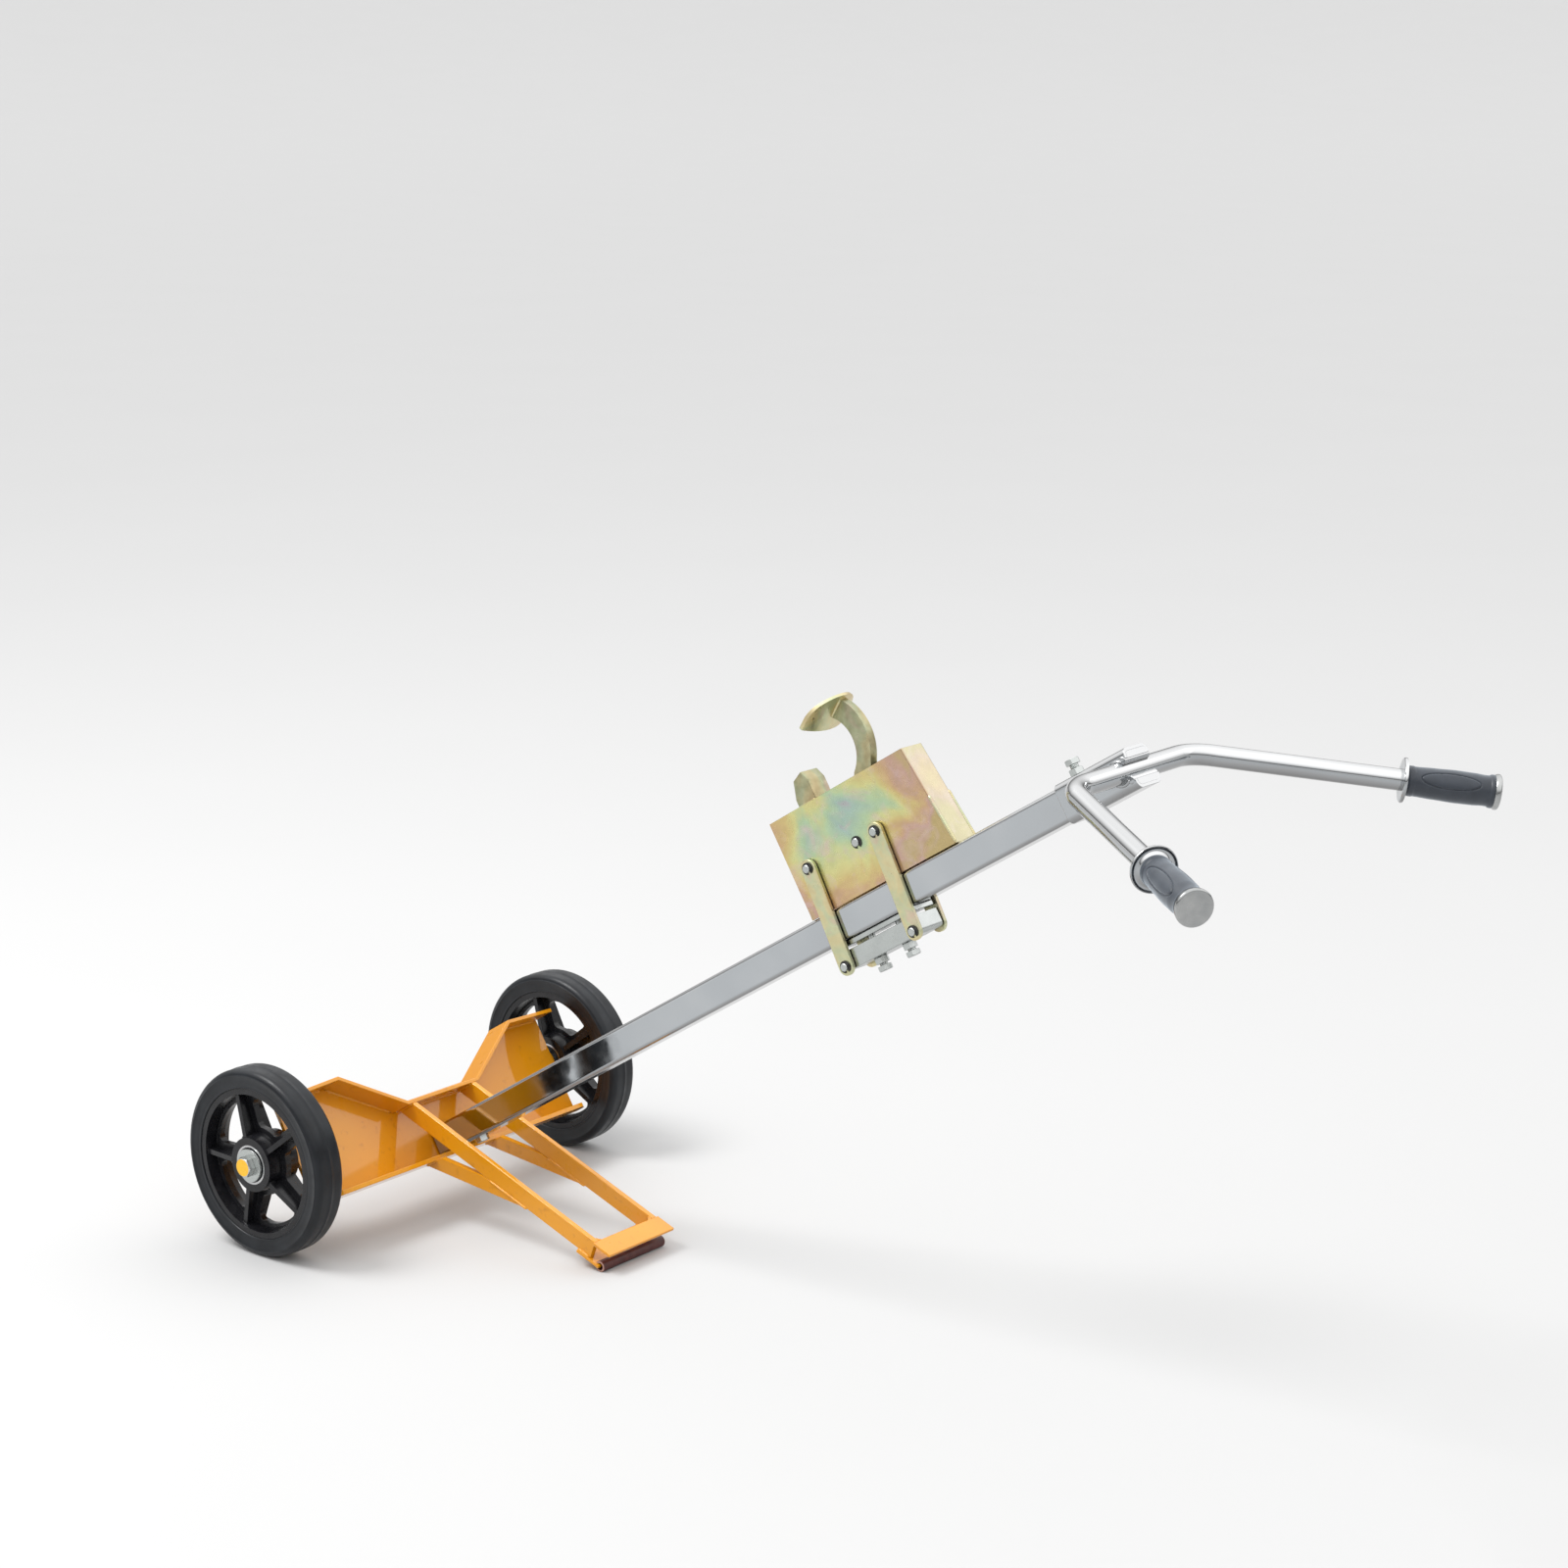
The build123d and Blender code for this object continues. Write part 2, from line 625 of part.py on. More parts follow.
# Rubber sleeve, slit along its back to go over the lip and worn flat underneath
with BuildPart() as foot_sleeve:
    with BuildSketch(Plane(origin=foot, x_dir=LEG_RUN, z_dir=(0, -1, 0))):
        Circle(SLEEVE_R)
        Circle(SLEEVE_R - SLEEVE_WALL, mode=Mode.SUBTRACT)
        with Locations((-SLEEVE_R, 0)):
            Rectangle(2 * SLEEVE_R, FOOT_THICKNESS + 2 * SEAT_GAP, mode=Mode.SUBTRACT)
    extrude(amount=SLEEVE_LENGTH / 2, both=True)
    split(bisect_by=Plane.XY, keep=Keep.TOP)
save(foot_sleeve.part, "foot_sleeve")

# Mast, with holes for the bolts at its foot and in the handle's socket
mast_bolt_s = WEB_FRONT + MAST_BOLT_PLACE
socket_bolt_s = SOCKET_START + SOCKET_BOLT_PLACE
mast_bore = MAST_DEPTH - 2 * MAST_WALL
with BuildPart() as mast:
    with BuildSketch(cross_plane(MAST_FOOT, MAST_MID_W)):
        RectangleRounded(MAST_WIDTH, MAST_DEPTH, MAST_CORNER)
        RectangleRounded(MAST_WIDTH - 2 * MAST_WALL, mast_bore, MAST_CORNER - MAST_WALL, mode=Mode.SUBTRACT)
    extrude(amount=MAST_LENGTH)
    with BuildSketch(post_plane(mast_bolt_s, MAST_UNDER_W)):
        Circle(BOLT_R + HOLE_GAP)
    extrude(amount=MAST_DEPTH / 2, mode=Mode.SUBTRACT)
    with BuildSketch(post_plane(socket_bolt_s, MAST_TOP_W)):
        Circle(BOLT_R + HOLE_GAP)
    extrude(amount=-MAST_DEPTH / 2, mode=Mode.SUBTRACT)
save(mast.part, "mast")

spigot_width = MAST_WIDTH - 2 * MAST_WALL - 2 * HOLE_GAP
spigot_depth = mast_bore - 2 * HOLE_GAP
with BuildPart() as mast_spigot:
    with BuildSketch(cross_plane(WEB_FRONT, MAST_MID_W)):
        RectangleRounded(spigot_width, spigot_depth, MAST_CORNER - MAST_WALL)
        Rectangle(spigot_width - 2 * SPIGOT_WALL, spigot_depth - 2 * SPIGOT_WALL, mode=Mode.SUBTRACT)
    extrude(amount=SPIGOT_LENGTH)
    with BuildSketch(post_plane(mast_bolt_s, MAST_UNDER_W)):
        Circle(BOLT_R + HOLE_GAP)
    extrude(amount=MAST_DEPTH / 2, mode=Mode.SUBTRACT)
save(mast_spigot.part, "mast_spigot")

under_plane = Plane(origin=on_mast(mast_bolt_s, MAST_UNDER_W), x_dir=ALONG, z_dir=-SQUARE)
save(hex_bolt(under_plane, MAST_DEPTH / 2), "mast_bolt")

# Socket over the mast's end, notched for the handle's crossbar and closed above and below it
bore_width = MAST_WIDTH + 2 * HOLE_GAP
bore_depth = MAST_DEPTH + 2 * HOLE_GAP
socket_width = bore_width + 2 * SOCKET_WALL
socket_depth = bore_depth + 2 * SOCKET_WALL
socket_top = MAST_MID_W + socket_depth / 2
notch = 2 * (HANDLE_R + HOLE_GAP)

# The notch runs across the truck, round at its bottom and open at the socket's end
with BuildPart() as crossbar_notch:
    with BuildSketch(side_plane(BAR_S, MAST_MID_W)):
        Circle(notch / 2)
        with Locations((HANDLE_PLACE, 0)):
            Rectangle(2 * HANDLE_PLACE, notch)
    extrude(amount=socket_width, both=True)

with BuildPart() as handle_socket:
    with BuildSketch(cross_plane(SOCKET_START, MAST_MID_W)):
        RectangleRounded(socket_width, socket_depth, MAST_CORNER + SOCKET_WALL)
        RectangleRounded(bore_width, bore_depth, MAST_CORNER, mode=Mode.SUBTRACT)
    extrude(amount=SOCKET_LENGTH)
    add(crossbar_notch.part, mode=Mode.SUBTRACT)
    with BuildSketch(post_plane(socket_bolt_s, socket_top)):
        Circle(BOLT_R + HOLE_GAP)
    extrude(amount=-socket_depth / 2, mode=Mode.SUBTRACT)
save(handle_socket.part, "handle_socket")

with BuildPart() as socket_end_plates:
    with BuildSketch(cross_plane(SOCKET_END, MAST_MID_W)):
        RectangleRounded(bore_width, bore_depth, MAST_CORNER)
    extrude(amount=-END_PLATE)
    add(crossbar_notch.part, mode=Mode.SUBTRACT)
save(socket_end_plates.part, "socket_end_plates")

save(hex_prism(post_plane(socket_bolt_s, socket_top), NUT_HEIGHT, BOLT_R + HOLE_GAP), "socket_nut")
socket_head = post_plane(socket_bolt_s, socket_top + SOCKET_BOLT_HEIGHT)
save(hex_bolt(socket_head, SOCKET_BOLT_HEIGHT + socket_depth / 2), "socket_bolt")

# Handle: one tube bent on each side of the socket
bar_middle = on_mast(BAR_S, MAST_MID_W)


def arm_point(turn, distance):
    """A point on an arm's centre line, measured from where it meets the crossbar's line."""
    corner = bar_middle + ACROSS * (turn * CROSSBAR / 2)
    return corner + Vector(ARM_X, turn * ARM_Y, ARM_Z) * distance


tube_end = ARM_TOTAL - GRIP_CAP_LENGTH
with BuildPart() as handlebar:
    with BuildLine() as handle_line:
        FilletPolyline(
            arm_point(-1, tube_end),
            arm_point(-1, 0),
            arm_point(1, 0),
            arm_point(1, tube_end),
            radius=HANDLE_BEND,
        )
    with BuildSketch(Plane(origin=handle_line.line @ 0, z_dir=handle_line.line % 0)):
        Circle(HANDLE_R)
        Circle(HANDLE_R - HANDLE_WALL, mode=Mode.SUBTRACT)
    sweep()
save(handlebar.part, "handlebar")


def arm_section(turn, start):
    """Through an arm's centre line: x runs along it and y is the radius."""
    arm = Vector(ARM_X, turn * ARM_Y, ARM_Z)
    return Plane(origin=arm_point(turn, start), x_dir=arm, z_dir=arm.cross(Vector(0, 0, 1)))


def turned(turn, start, outline):
    """A round piece on an arm: outline points are (distance from start, radius)."""
    section = arm_section(turn, start)
    with BuildPart() as piece:
        with BuildSketch(section):
            Polygon(*outline, align=None)
        revolve(axis=Axis(section.origin, section.x_dir))
    return piece.part


bore = HANDLE_R + SEAT_GAP
grip_start = ARM_LENGTH + GRIP_FLANGE_THICKNESS
cap_start = grip_start + GRIP_LENGTH
collar = GRIP_START_R + RUN_GAP
dish = GRIP_FLANGE_THICKNESS / 2

for side, turn in SIDES:
    flange_outline = [
        (0, bore),
        (GRIP_FLANGE_THICKNESS, bore),
        (GRIP_FLANGE_THICKNESS, collar),
        (dish, GRIP_FLANGE_R - dish),
        (dish, GRIP_FLANGE_R),
        (0, GRIP_FLANGE_R),
    ]
    save(turned(turn, ARM_LENGTH, flange_outline), f"{side}_grip_flange")

    grip_section = arm_section(turn, grip_start)
    with BuildPart() as grip:
        with BuildSketch(grip_section):
            with BuildLine():
                Polyline((0, GRIP_START_R), (0, bore), (GRIP_LENGTH, bore), (GRIP_LENGTH, GRIP_END_R))
                ThreePointArc((GRIP_LENGTH, GRIP_END_R), (GRIP_LENGTH / 2, GRIP_MIDDLE_R), (0, GRIP_START_R))
            make_face()
        revolve(axis=Axis(grip_section.origin, grip_section.x_dir))
    save(grip.part, f"{side}_grip")

    cap_outline = [
        (0, 0),
        (GRIP_CAP_LENGTH, 0),
        (GRIP_CAP_LENGTH, GRIP_CAP_R - dish / 2),
        (GRIP_CAP_LENGTH - dish / 2, GRIP_CAP_R),
        (dish, GRIP_CAP_R),
        (0, GRIP_END_R),
    ]
    save(turned(turn, cap_start, cap_outline), f"{side}_grip_cap")

# Levels of the clamp under the mast, with the links' upper pins a link's length above it
shoe_high = MAST_UNDER_W - SLIDE_GAP
shoe_low = shoe_high - SHOE_THICKNESS
bar_high = shoe_low - SHOE_TRAVEL
bar_low = bar_high - CLAMP_BAR_HEIGHT
lower_w = bar_high - CLAMP_BAR_RISE
lean = radians(LINK_LEAN)
lower_ds = -LINK_LENGTH * sin(lean)
upper_w = lower_w + LINK_LENGTH * cos(lean)

# Clamp carriage: plates welded into a U that is open towards the drum
box_front = WEB_FRONT + CARRIAGE_PLACE
box_rear = box_front + CARRIAGE_LENGTH
box_low = MAST_TOP_W + SLIDE_GAP
box_high = box_low + CARRIAGE_HEIGHT
half_box = MAST_WIDTH / 2
inner_half = half_box - CARRIAGE_PLATE
front_pin_s = box_front + LINK_FRONT
rear_pin_s = front_pin_s + LINK_SPACING
pin_w = box_low + HOOK_PIN_LEVEL
hook_pin_s = box_front + HOOK_PIN_PLACE
rake_run = ALONG * -CARRIAGE_RAKE + SQUARE * CARRIAGE_HEIGHT

with BuildPart() as carriage_box:
    with BuildSketch(side_plane()):
        Polygon(
            (box_front, box_low),
            (box_rear, box_low),
            (box_rear - CARRIAGE_RAKE, box_high),
            (box_front, box_high),
            align=None,
        )
    extrude(amount=half_box, both=True)
    with BuildSketch(side_plane()):
        Polygon(
            (box_front - CARRIAGE_PLATE, box_low),
            (box_rear - CARRIAGE_PLATE, box_low),
            (box_rear - CARRIAGE_RAKE - CARRIAGE_PLATE, box_high),
            (box_front - CARRIAGE_PLATE, box_high),
            align=None,
        )
    extrude(amount=inner_half, both=True, mode=Mode.SUBTRACT)
    raked = carriage_box.edges().filter_by(Axis(on_mast(box_rear, box_low), rake_run))
    outer_corners = raked.filter_by(lambda e: abs(e.center().Y) > half_box - CARRIAGE_PLATE / 2)
    fillet(outer_corners, CARRIAGE_BEND)
    with BuildSketch(side_plane()):
        with Locations((front_pin_s, upper_w), (rear_pin_s, upper_w), (hook_pin_s, pin_w)):
            Circle(PIN_R + SEAT_GAP)
    extrude(amount=MAST_WIDTH, both=True, mode=Mode.SUBTRACT)
save(carriage_box.part, "carriage_box")

# Beak lip: a plate curved crosswise, with a round upper edge, welded across the arm's tip


def from_hook_pin(point):
    """A point of the beak arm's outline, moved to the arm's pin."""
    return (hook_pin_s + point[0], pin_w + point[1])


tip_in = from_hook_pin(TIP_INNER)
tip_out = from_hook_pin(TIP_OUTER)
droop = atan2(tip_out[1] - tip_in[1], tip_out[0] - tip_in[0])
LIP_RUN = ALONG * cos(droop) + SQUARE * sin(droop)
LIP_NORMAL = SQUARE * cos(droop) - ALONG * sin(droop)
lip_edge = on_mast(*tip_out) + LIP_RUN * LIP_PROUD
lip_outer_r = LIP_CURVE_R + LIP_THICKNESS
half_angle = degrees(asin(LIP_R / LIP_CURVE_R))

with BuildPart() as hook_lip:
    with BuildSketch(Plane(origin=lip_edge, x_dir=ACROSS, z_dir=LIP_RUN)):
        with BuildLine():
            outer_arc = CenterArc((0, lip_outer_r), lip_outer_r, 270 - half_angle, 2 * half_angle)
            inner_arc = CenterArc((0, lip_outer_r), LIP_CURVE_R, 270 - half_angle, 2 * half_angle)
            Line(outer_arc @ 0, inner_arc @ 0)
            Line(outer_arc @ 1, inner_arc @ 1)
        make_face()
    extrude(amount=-LIP_DEPTH)
    with BuildSketch(Plane(origin=lip_edge - LIP_RUN * LIP_R, x_dir=ACROSS, z_dir=LIP_NORMAL)):
        Circle(LIP_R)
        with Locations((0, (LIP_DEPTH - LIP_R) / 2)):
            Rectangle(2 * LIP_R, LIP_DEPTH - LIP_R)
    extrude(amount=LIP_R, both=True, mode=Mode.INTERSECT)
save(hook_lip.part, "hook_lip")

# Beak arm, turning on its own pin inside the box and cut to the lip's under side
neck_in = from_hook_pin(NECK_INNER)
neck_out = from_hook_pin(NECK_OUTER)
neck_run = Vector(NECK_INNER[0] + NECK_OUTER[0], NECK_INNER[1] + NECK_OUTER[1]).normalized()
boss_in = (hook_pin_s - HOOK_BOSS_R * neck_run.Y, pin_w + HOOK_BOSS_R * neck_run.X)
boss_out = (hook_pin_s + HOOK_BOSS_R * neck_run.Y, pin_w - HOOK_BOSS_R * neck_run.X)
sink = LIP_THICKNESS / 2
sunk_in = (tip_in[0] - sink * sin(droop), tip_in[1] + sink * cos(droop))
sunk_out = (tip_out[0] - sink * sin(droop), tip_out[1] + sink * cos(droop))

with BuildPart() as hook_arm:
    with BuildSketch(side_plane()):
        with BuildLine():
            Line(boss_in, neck_in)
            ThreePointArc(neck_in, from_hook_pin(BELLY_INNER), tip_in)
            Polyline(tip_in, sunk_in, sunk_out, tip_out)
            ThreePointArc(tip_out, from_hook_pin(BELLY_OUTER), neck_out)
            Polyline(neck_out, boss_out, boss_in)
        make_face()
        with Locations((hook_pin_s, pin_w)):
            Circle(HOOK_BOSS_R)
            Circle(PIN_R + RUN_GAP, mode=Mode.SUBTRACT)
    extrude(amount=HOOK_THICKNESS / 2, both=True)
    add(hook_lip.part, mode=Mode.SUBTRACT)
save(hook_arm.part, "hook_arm")

# Lower jaw, welded between the plates, that stands under the drum's rim
with BuildPart() as lower_jaw:
    with BuildSketch(side_plane(box_front + JAW_PLACE, box_high)):
        Polygon(*JAW_OUTLINE, align=None)
    extrude(amount=inner_half, both=True)
save(lower_jaw.part, "lower_jaw")

# Stop bar that the beak arm leans on
edge_run = Vector(neck_in[0] - boss_in[0], neck_in[1] - boss_in[1]).normalized()
stop_offset = STOP_BAR_R + STOP_GAP
stop_s = boss_in[0] + edge_run.X * STOP_BAR_PLACE - edge_run.Y * stop_offset
stop_w = boss_in[1] + edge_run.Y * STOP_BAR_PLACE + edge_run.X * stop_offset
save(pin(stop_s, stop_w, inner_half, STOP_BAR_R), "hook_stop_bar")

with BuildPart() as hook_spacers:
    spacer_start = HOOK_THICKNESS / 2 + SLIDE_GAP
    for turn in (-1, 1):
        with BuildSketch(Plane(origin=on_mast(hook_pin_s, pin_w, turn * spacer_start), z_dir=(0, turn, 0))):
            Circle(SPACER_R)
            Circle(PIN_R + SEAT_GAP, mode=Mode.SUBTRACT)
        extrude(amount=inner_half - spacer_start)
save(hook_spacers.part, "hook_spacers")

hook_clip_y = half_box + CIRCLIP_THICKNESS / 2
save(pin(hook_pin_s, pin_w, hook_clip_y + PIN_END, PIN_R), "hook_pin")
with BuildPart() as hook_circlips:
    add(circlip(hook_pin_s, pin_w, -hook_clip_y))
    add(circlip(hook_pin_s, pin_w, hook_clip_y))
save(hook_circlips.part, "hook_circlips")

# Links, leaning down the mast
link_start = half_box + LINK_GAP
link_clip_y = link_start + LINK_THICKNESS + SLIDE_GAP + CIRCLIP_THICKNESS / 2

for name, top_s in (("front", front_pin_s), ("rear", rear_pin_s)):
    for side, turn in SIDES:
        link_y = turn * (link_start + LINK_THICKNESS / 2)
        link_middle = on_mast(top_s + lower_ds / 2, (upper_w + lower_w) / 2, link_y)
        link_run = ALONG * lower_ds + SQUARE * (lower_w - upper_w)
        with BuildPart() as link:
            with BuildSketch(Plane(origin=link_middle, x_dir=link_run, z_dir=(0, -1, 0))):
                SlotCenterToCenter(LINK_LENGTH, LINK_WIDTH)
                with Locations((-LINK_LENGTH / 2, 0), (LINK_LENGTH / 2, 0)):
                    Circle(PIN_R + RUN_GAP, mode=Mode.SUBTRACT)
            extrude(amount=LINK_THICKNESS / 2, both=True)
            link_faces = link.faces().sort_by(Axis.Y)
            fillet(link_faces[0].outer_wire().edges() + link_faces[-1].outer_wire().edges(), PLATE_EDGE)
        save(link.part, f"{name}_link_{side}")

for name, ds, level in (("upper", 0.0, upper_w), ("lower", lower_ds, lower_w)):
    with BuildPart() as link_pins:
        for top_s in (front_pin_s, rear_pin_s):
            add(pin(top_s + ds, level, link_clip_y + PIN_END, PIN_R))
    save(link_pins.part, f"{name}_link_pins")
    with BuildPart() as link_circlips:
        for top_s in (front_pin_s, rear_pin_s):
            for turn in (-1, 1):
                add(circlip(top_s + ds, level, turn * link_clip_y))
    save(link_circlips.part, f"{name}_link_circlips")

# Clamp bar, pressure shoe and adjusting bolts under the mast
clamp_s = front_pin_s + lower_ds + LINK_SPACING / 2
adjusters = (clamp_s - ADJUSTER_SPACING / 2, clamp_s + ADJUSTER_SPACING / 2)

with BuildPart() as clamp_bar:
    with BuildSketch(post_plane(clamp_s, bar_low)):
        Rectangle(CLAMP_BAR_LENGTH, MAST_WIDTH)
    extrude(amount=CLAMP_BAR_HEIGHT)
    fillet(clamp_bar.faces().sort_by(Axis(AXLE, SQUARE))[0].edges().filter_by(Axis.Y), CLAMP_BAR_ROUND)
    fillet(clamp_bar.edges().filter_by(Axis(AXLE, ALONG)), PLATE_EDGE)
    with BuildSketch(side_plane()):
        with Locations((front_pin_s + lower_ds, lower_w), (rear_pin_s + lower_ds, lower_w)):
            Circle(PIN_R + SEAT_GAP)
    extrude(amount=MAST_WIDTH, both=True, mode=Mode.SUBTRACT)
    for s in adjusters:
        with BuildSketch(post_plane(s, bar_low)):
            Circle(BOLT_R + RUN_GAP)
        extrude(amount=CLAMP_BAR_HEIGHT, mode=Mode.SUBTRACT)
save(clamp_bar.part, "clamp_bar")

with BuildPart() as clamp_shoe:
    with BuildSketch(post_plane(clamp_s, shoe_low)):
        RectangleRounded(SHOE_LENGTH, SHOE_WIDTH, BAR_EDGE)
    extrude(amount=SHOE_THICKNESS)
save(clamp_shoe.part, "clamp_shoe")

with BuildPart() as lock_nuts:
    for s in adjusters:
        add(hex_prism(post_plane(s, bar_low - NUT_HEIGHT), NUT_HEIGHT, BOLT_R + RUN_GAP))
save(lock_nuts.part, "lock_nuts")

head_w = bar_low - NUT_HEIGHT - ADJUSTER_STAND
with BuildPart() as adjusting_bolts:
    for s in adjusters:
        head_plane = Plane(origin=on_mast(s, head_w), x_dir=ALONG, z_dir=-SQUARE)
        add(hex_bolt(head_plane, shoe_low - head_w))
save(adjusting_bolts.part, "adjusting_bolts")
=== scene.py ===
import json
from functools import partial
from math import atan2, cos, exp, hypot, pi, radians, sin, sqrt

import bpy
from mathutils import Matrix, Vector


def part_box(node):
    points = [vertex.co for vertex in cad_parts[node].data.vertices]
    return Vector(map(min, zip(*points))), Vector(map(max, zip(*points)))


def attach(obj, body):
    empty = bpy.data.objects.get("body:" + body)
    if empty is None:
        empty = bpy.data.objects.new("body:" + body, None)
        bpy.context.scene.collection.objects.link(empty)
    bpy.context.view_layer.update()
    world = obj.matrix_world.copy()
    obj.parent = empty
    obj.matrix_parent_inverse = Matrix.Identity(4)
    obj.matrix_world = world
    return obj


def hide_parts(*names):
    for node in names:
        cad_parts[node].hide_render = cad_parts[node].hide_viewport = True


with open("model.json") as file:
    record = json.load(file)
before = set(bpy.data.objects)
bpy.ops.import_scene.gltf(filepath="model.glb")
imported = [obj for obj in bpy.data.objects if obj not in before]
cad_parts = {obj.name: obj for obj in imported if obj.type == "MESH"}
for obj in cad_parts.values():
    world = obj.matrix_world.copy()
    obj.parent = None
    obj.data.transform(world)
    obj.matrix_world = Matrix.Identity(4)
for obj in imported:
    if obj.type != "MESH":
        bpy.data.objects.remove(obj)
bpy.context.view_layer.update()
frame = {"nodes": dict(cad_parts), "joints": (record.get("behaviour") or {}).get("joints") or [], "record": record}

# One millimetre in the scene's metres
MM = 0.001

# Camera, measured from the floor under the axle's middle, in millimetres and degrees
CAMERA_PLACE = (2953.8, -2897.3, 1525.8)
CAMERA_YAW = 38.7
CAMERA_PITCH = 13.0
CAMERA_ROLL = 0.3
CAMERA_FOCUS = 3237.0
FRAME_PIXELS = 1600.0
SENSOR_WIDTH = 36.0

# Studio
FLOOR_RINGS = ((40.0, 0.0), (48.0, 0.1), (56.0, 0.5), (64.0, 1.6), (72.0, 3.7), (80.0, 7.0))
FLOOR_SEGMENTS = 64

# Sizes of the part that the details follow, in millimetres and degrees
WHEEL_R = 125.0
RIM_R = 100.0
RIM_HALF = 20.0
TYRE_HALF = 22.5
TYRE_SHOULDER = 9.0
WHEEL_Y = 280.0
WEB_BACK = 14.0
WEB_FRONT = 20.0
FLANGE_EDGE = 57.0
FLANGE_UNDER = -83.0
BEAM_HALF = 247.0
STRIP_UNDER = ((-247.0, 58.0), (-163.0, 61.0), (-66.0, 0.0), (66.0, 0.0), (163.0, 61.0), (247.0, 58.0))
BOSS_R = 17.0
BOSS_INNER = 182.5
LEG_Y = 56.0
LEG_HALF = 4.0
LEG_HEIGHT = 25.0
LEG_LENGTH = 346.0
LEG_SLOPE = 19.7
FOOT_THICKNESS = 4.0
LIP_BACK = 22.0
STRUT_START = 34.0
STRUT_REACH = 228.0
MAST_MID_W = -57.0
SOCKET_HALF = 24.1
SOCKET_END = 1303.0
SOCKET_BOLT_S = 1220.0
BAR_S = 1287.0
HANDLE_R = 12.5
CROSSBAR = 240.0
ARM_LENGTH = 240.0
ARM_SPLAY = 35.9
ARM_DROP = 6.6
GRIP_LENGTH = 98.0
FLANGE_THICKNESS = 6.0
BOX_FRONT = 794.0
BOX_REAR = 1040.0
BOX_LOW = -36.7
BOX_HIGH = 90.3
BOX_RAKE = 16.0
BOX_HALF = 20.0
BOX_PLATE = 4.0
JAW_START = 50.0
JAW_LENGTH = 30.0
HOOK_PIN = (906.0, 20.0)
HOOK_TIP_INNER = (32.0, 146.0)
HOOK_TIP_OUTER = (55.0, 159.0)
HOOK_HALF = 6.0
BOLT_R = 5.0
ADJUSTERS = (851.0, 899.0)
CLAMP_UNDER = -110.7
NUT_HEIGHT = 8.0
ADJUSTER_STAND = 3.0
SIDES = (("left", -1), ("right", 1))

# Directions of the truck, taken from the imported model
AXLE = sum(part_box("axle"), Vector()) / 2
SLIDE = next(j for j in frame["joints"] if j["name"] == "carriage_slide")
ALONG = Vector(SLIDE["axis"]).normalized()
SQUARE = Vector((-ALONG.z, 0.0, ALONG.x))
ACROSS = Vector((0.0, 1.0, 0.0))
UP = Vector((0.0, 0.0, 1.0))
SPLAY = radians(ARM_SPLAY)
DROP = radians(ARM_DROP)
LEG_RUN = Vector((cos(radians(LEG_SLOPE)), 0.0, -sin(radians(LEG_SLOPE))))
LEG_UP = Vector((sin(radians(LEG_SLOPE)), 0.0, cos(radians(LEG_SLOPE))))


def on_mast(s, w, y=0.0):
    """A point s along the mast from the axle, w square to it and y across, in millimetres."""
    return AXLE + (ALONG * s + SQUARE * w + ACROSS * y) * MM


def on_leg(run, rise, y):
    """A point along a leg's upper edge from its top end, with a rise square to it."""
    return on_mast(FLANGE_EDGE, 0.0, y) + (LEG_RUN * run + LEG_UP * rise) * MM


def arm_axis(turn):
    return Vector((cos(DROP) * cos(SPLAY), turn * cos(DROP) * sin(SPLAY), -sin(DROP)))


def on_arm(turn, distance):
    """A point on a handle arm's centre line, measured from the crossbar's line."""
    corner = on_mast(BAR_S, MAST_MID_W, turn * CROSSBAR / 2)
    return corner + arm_axis(turn) * distance * MM


# Plating tint: the place it is teal round, and how far it reaches along and square to the mast
TINT_S = 895.0
TINT_W = 45.0
TINT_REACH = 118.0
TINT_RISE = 86.0


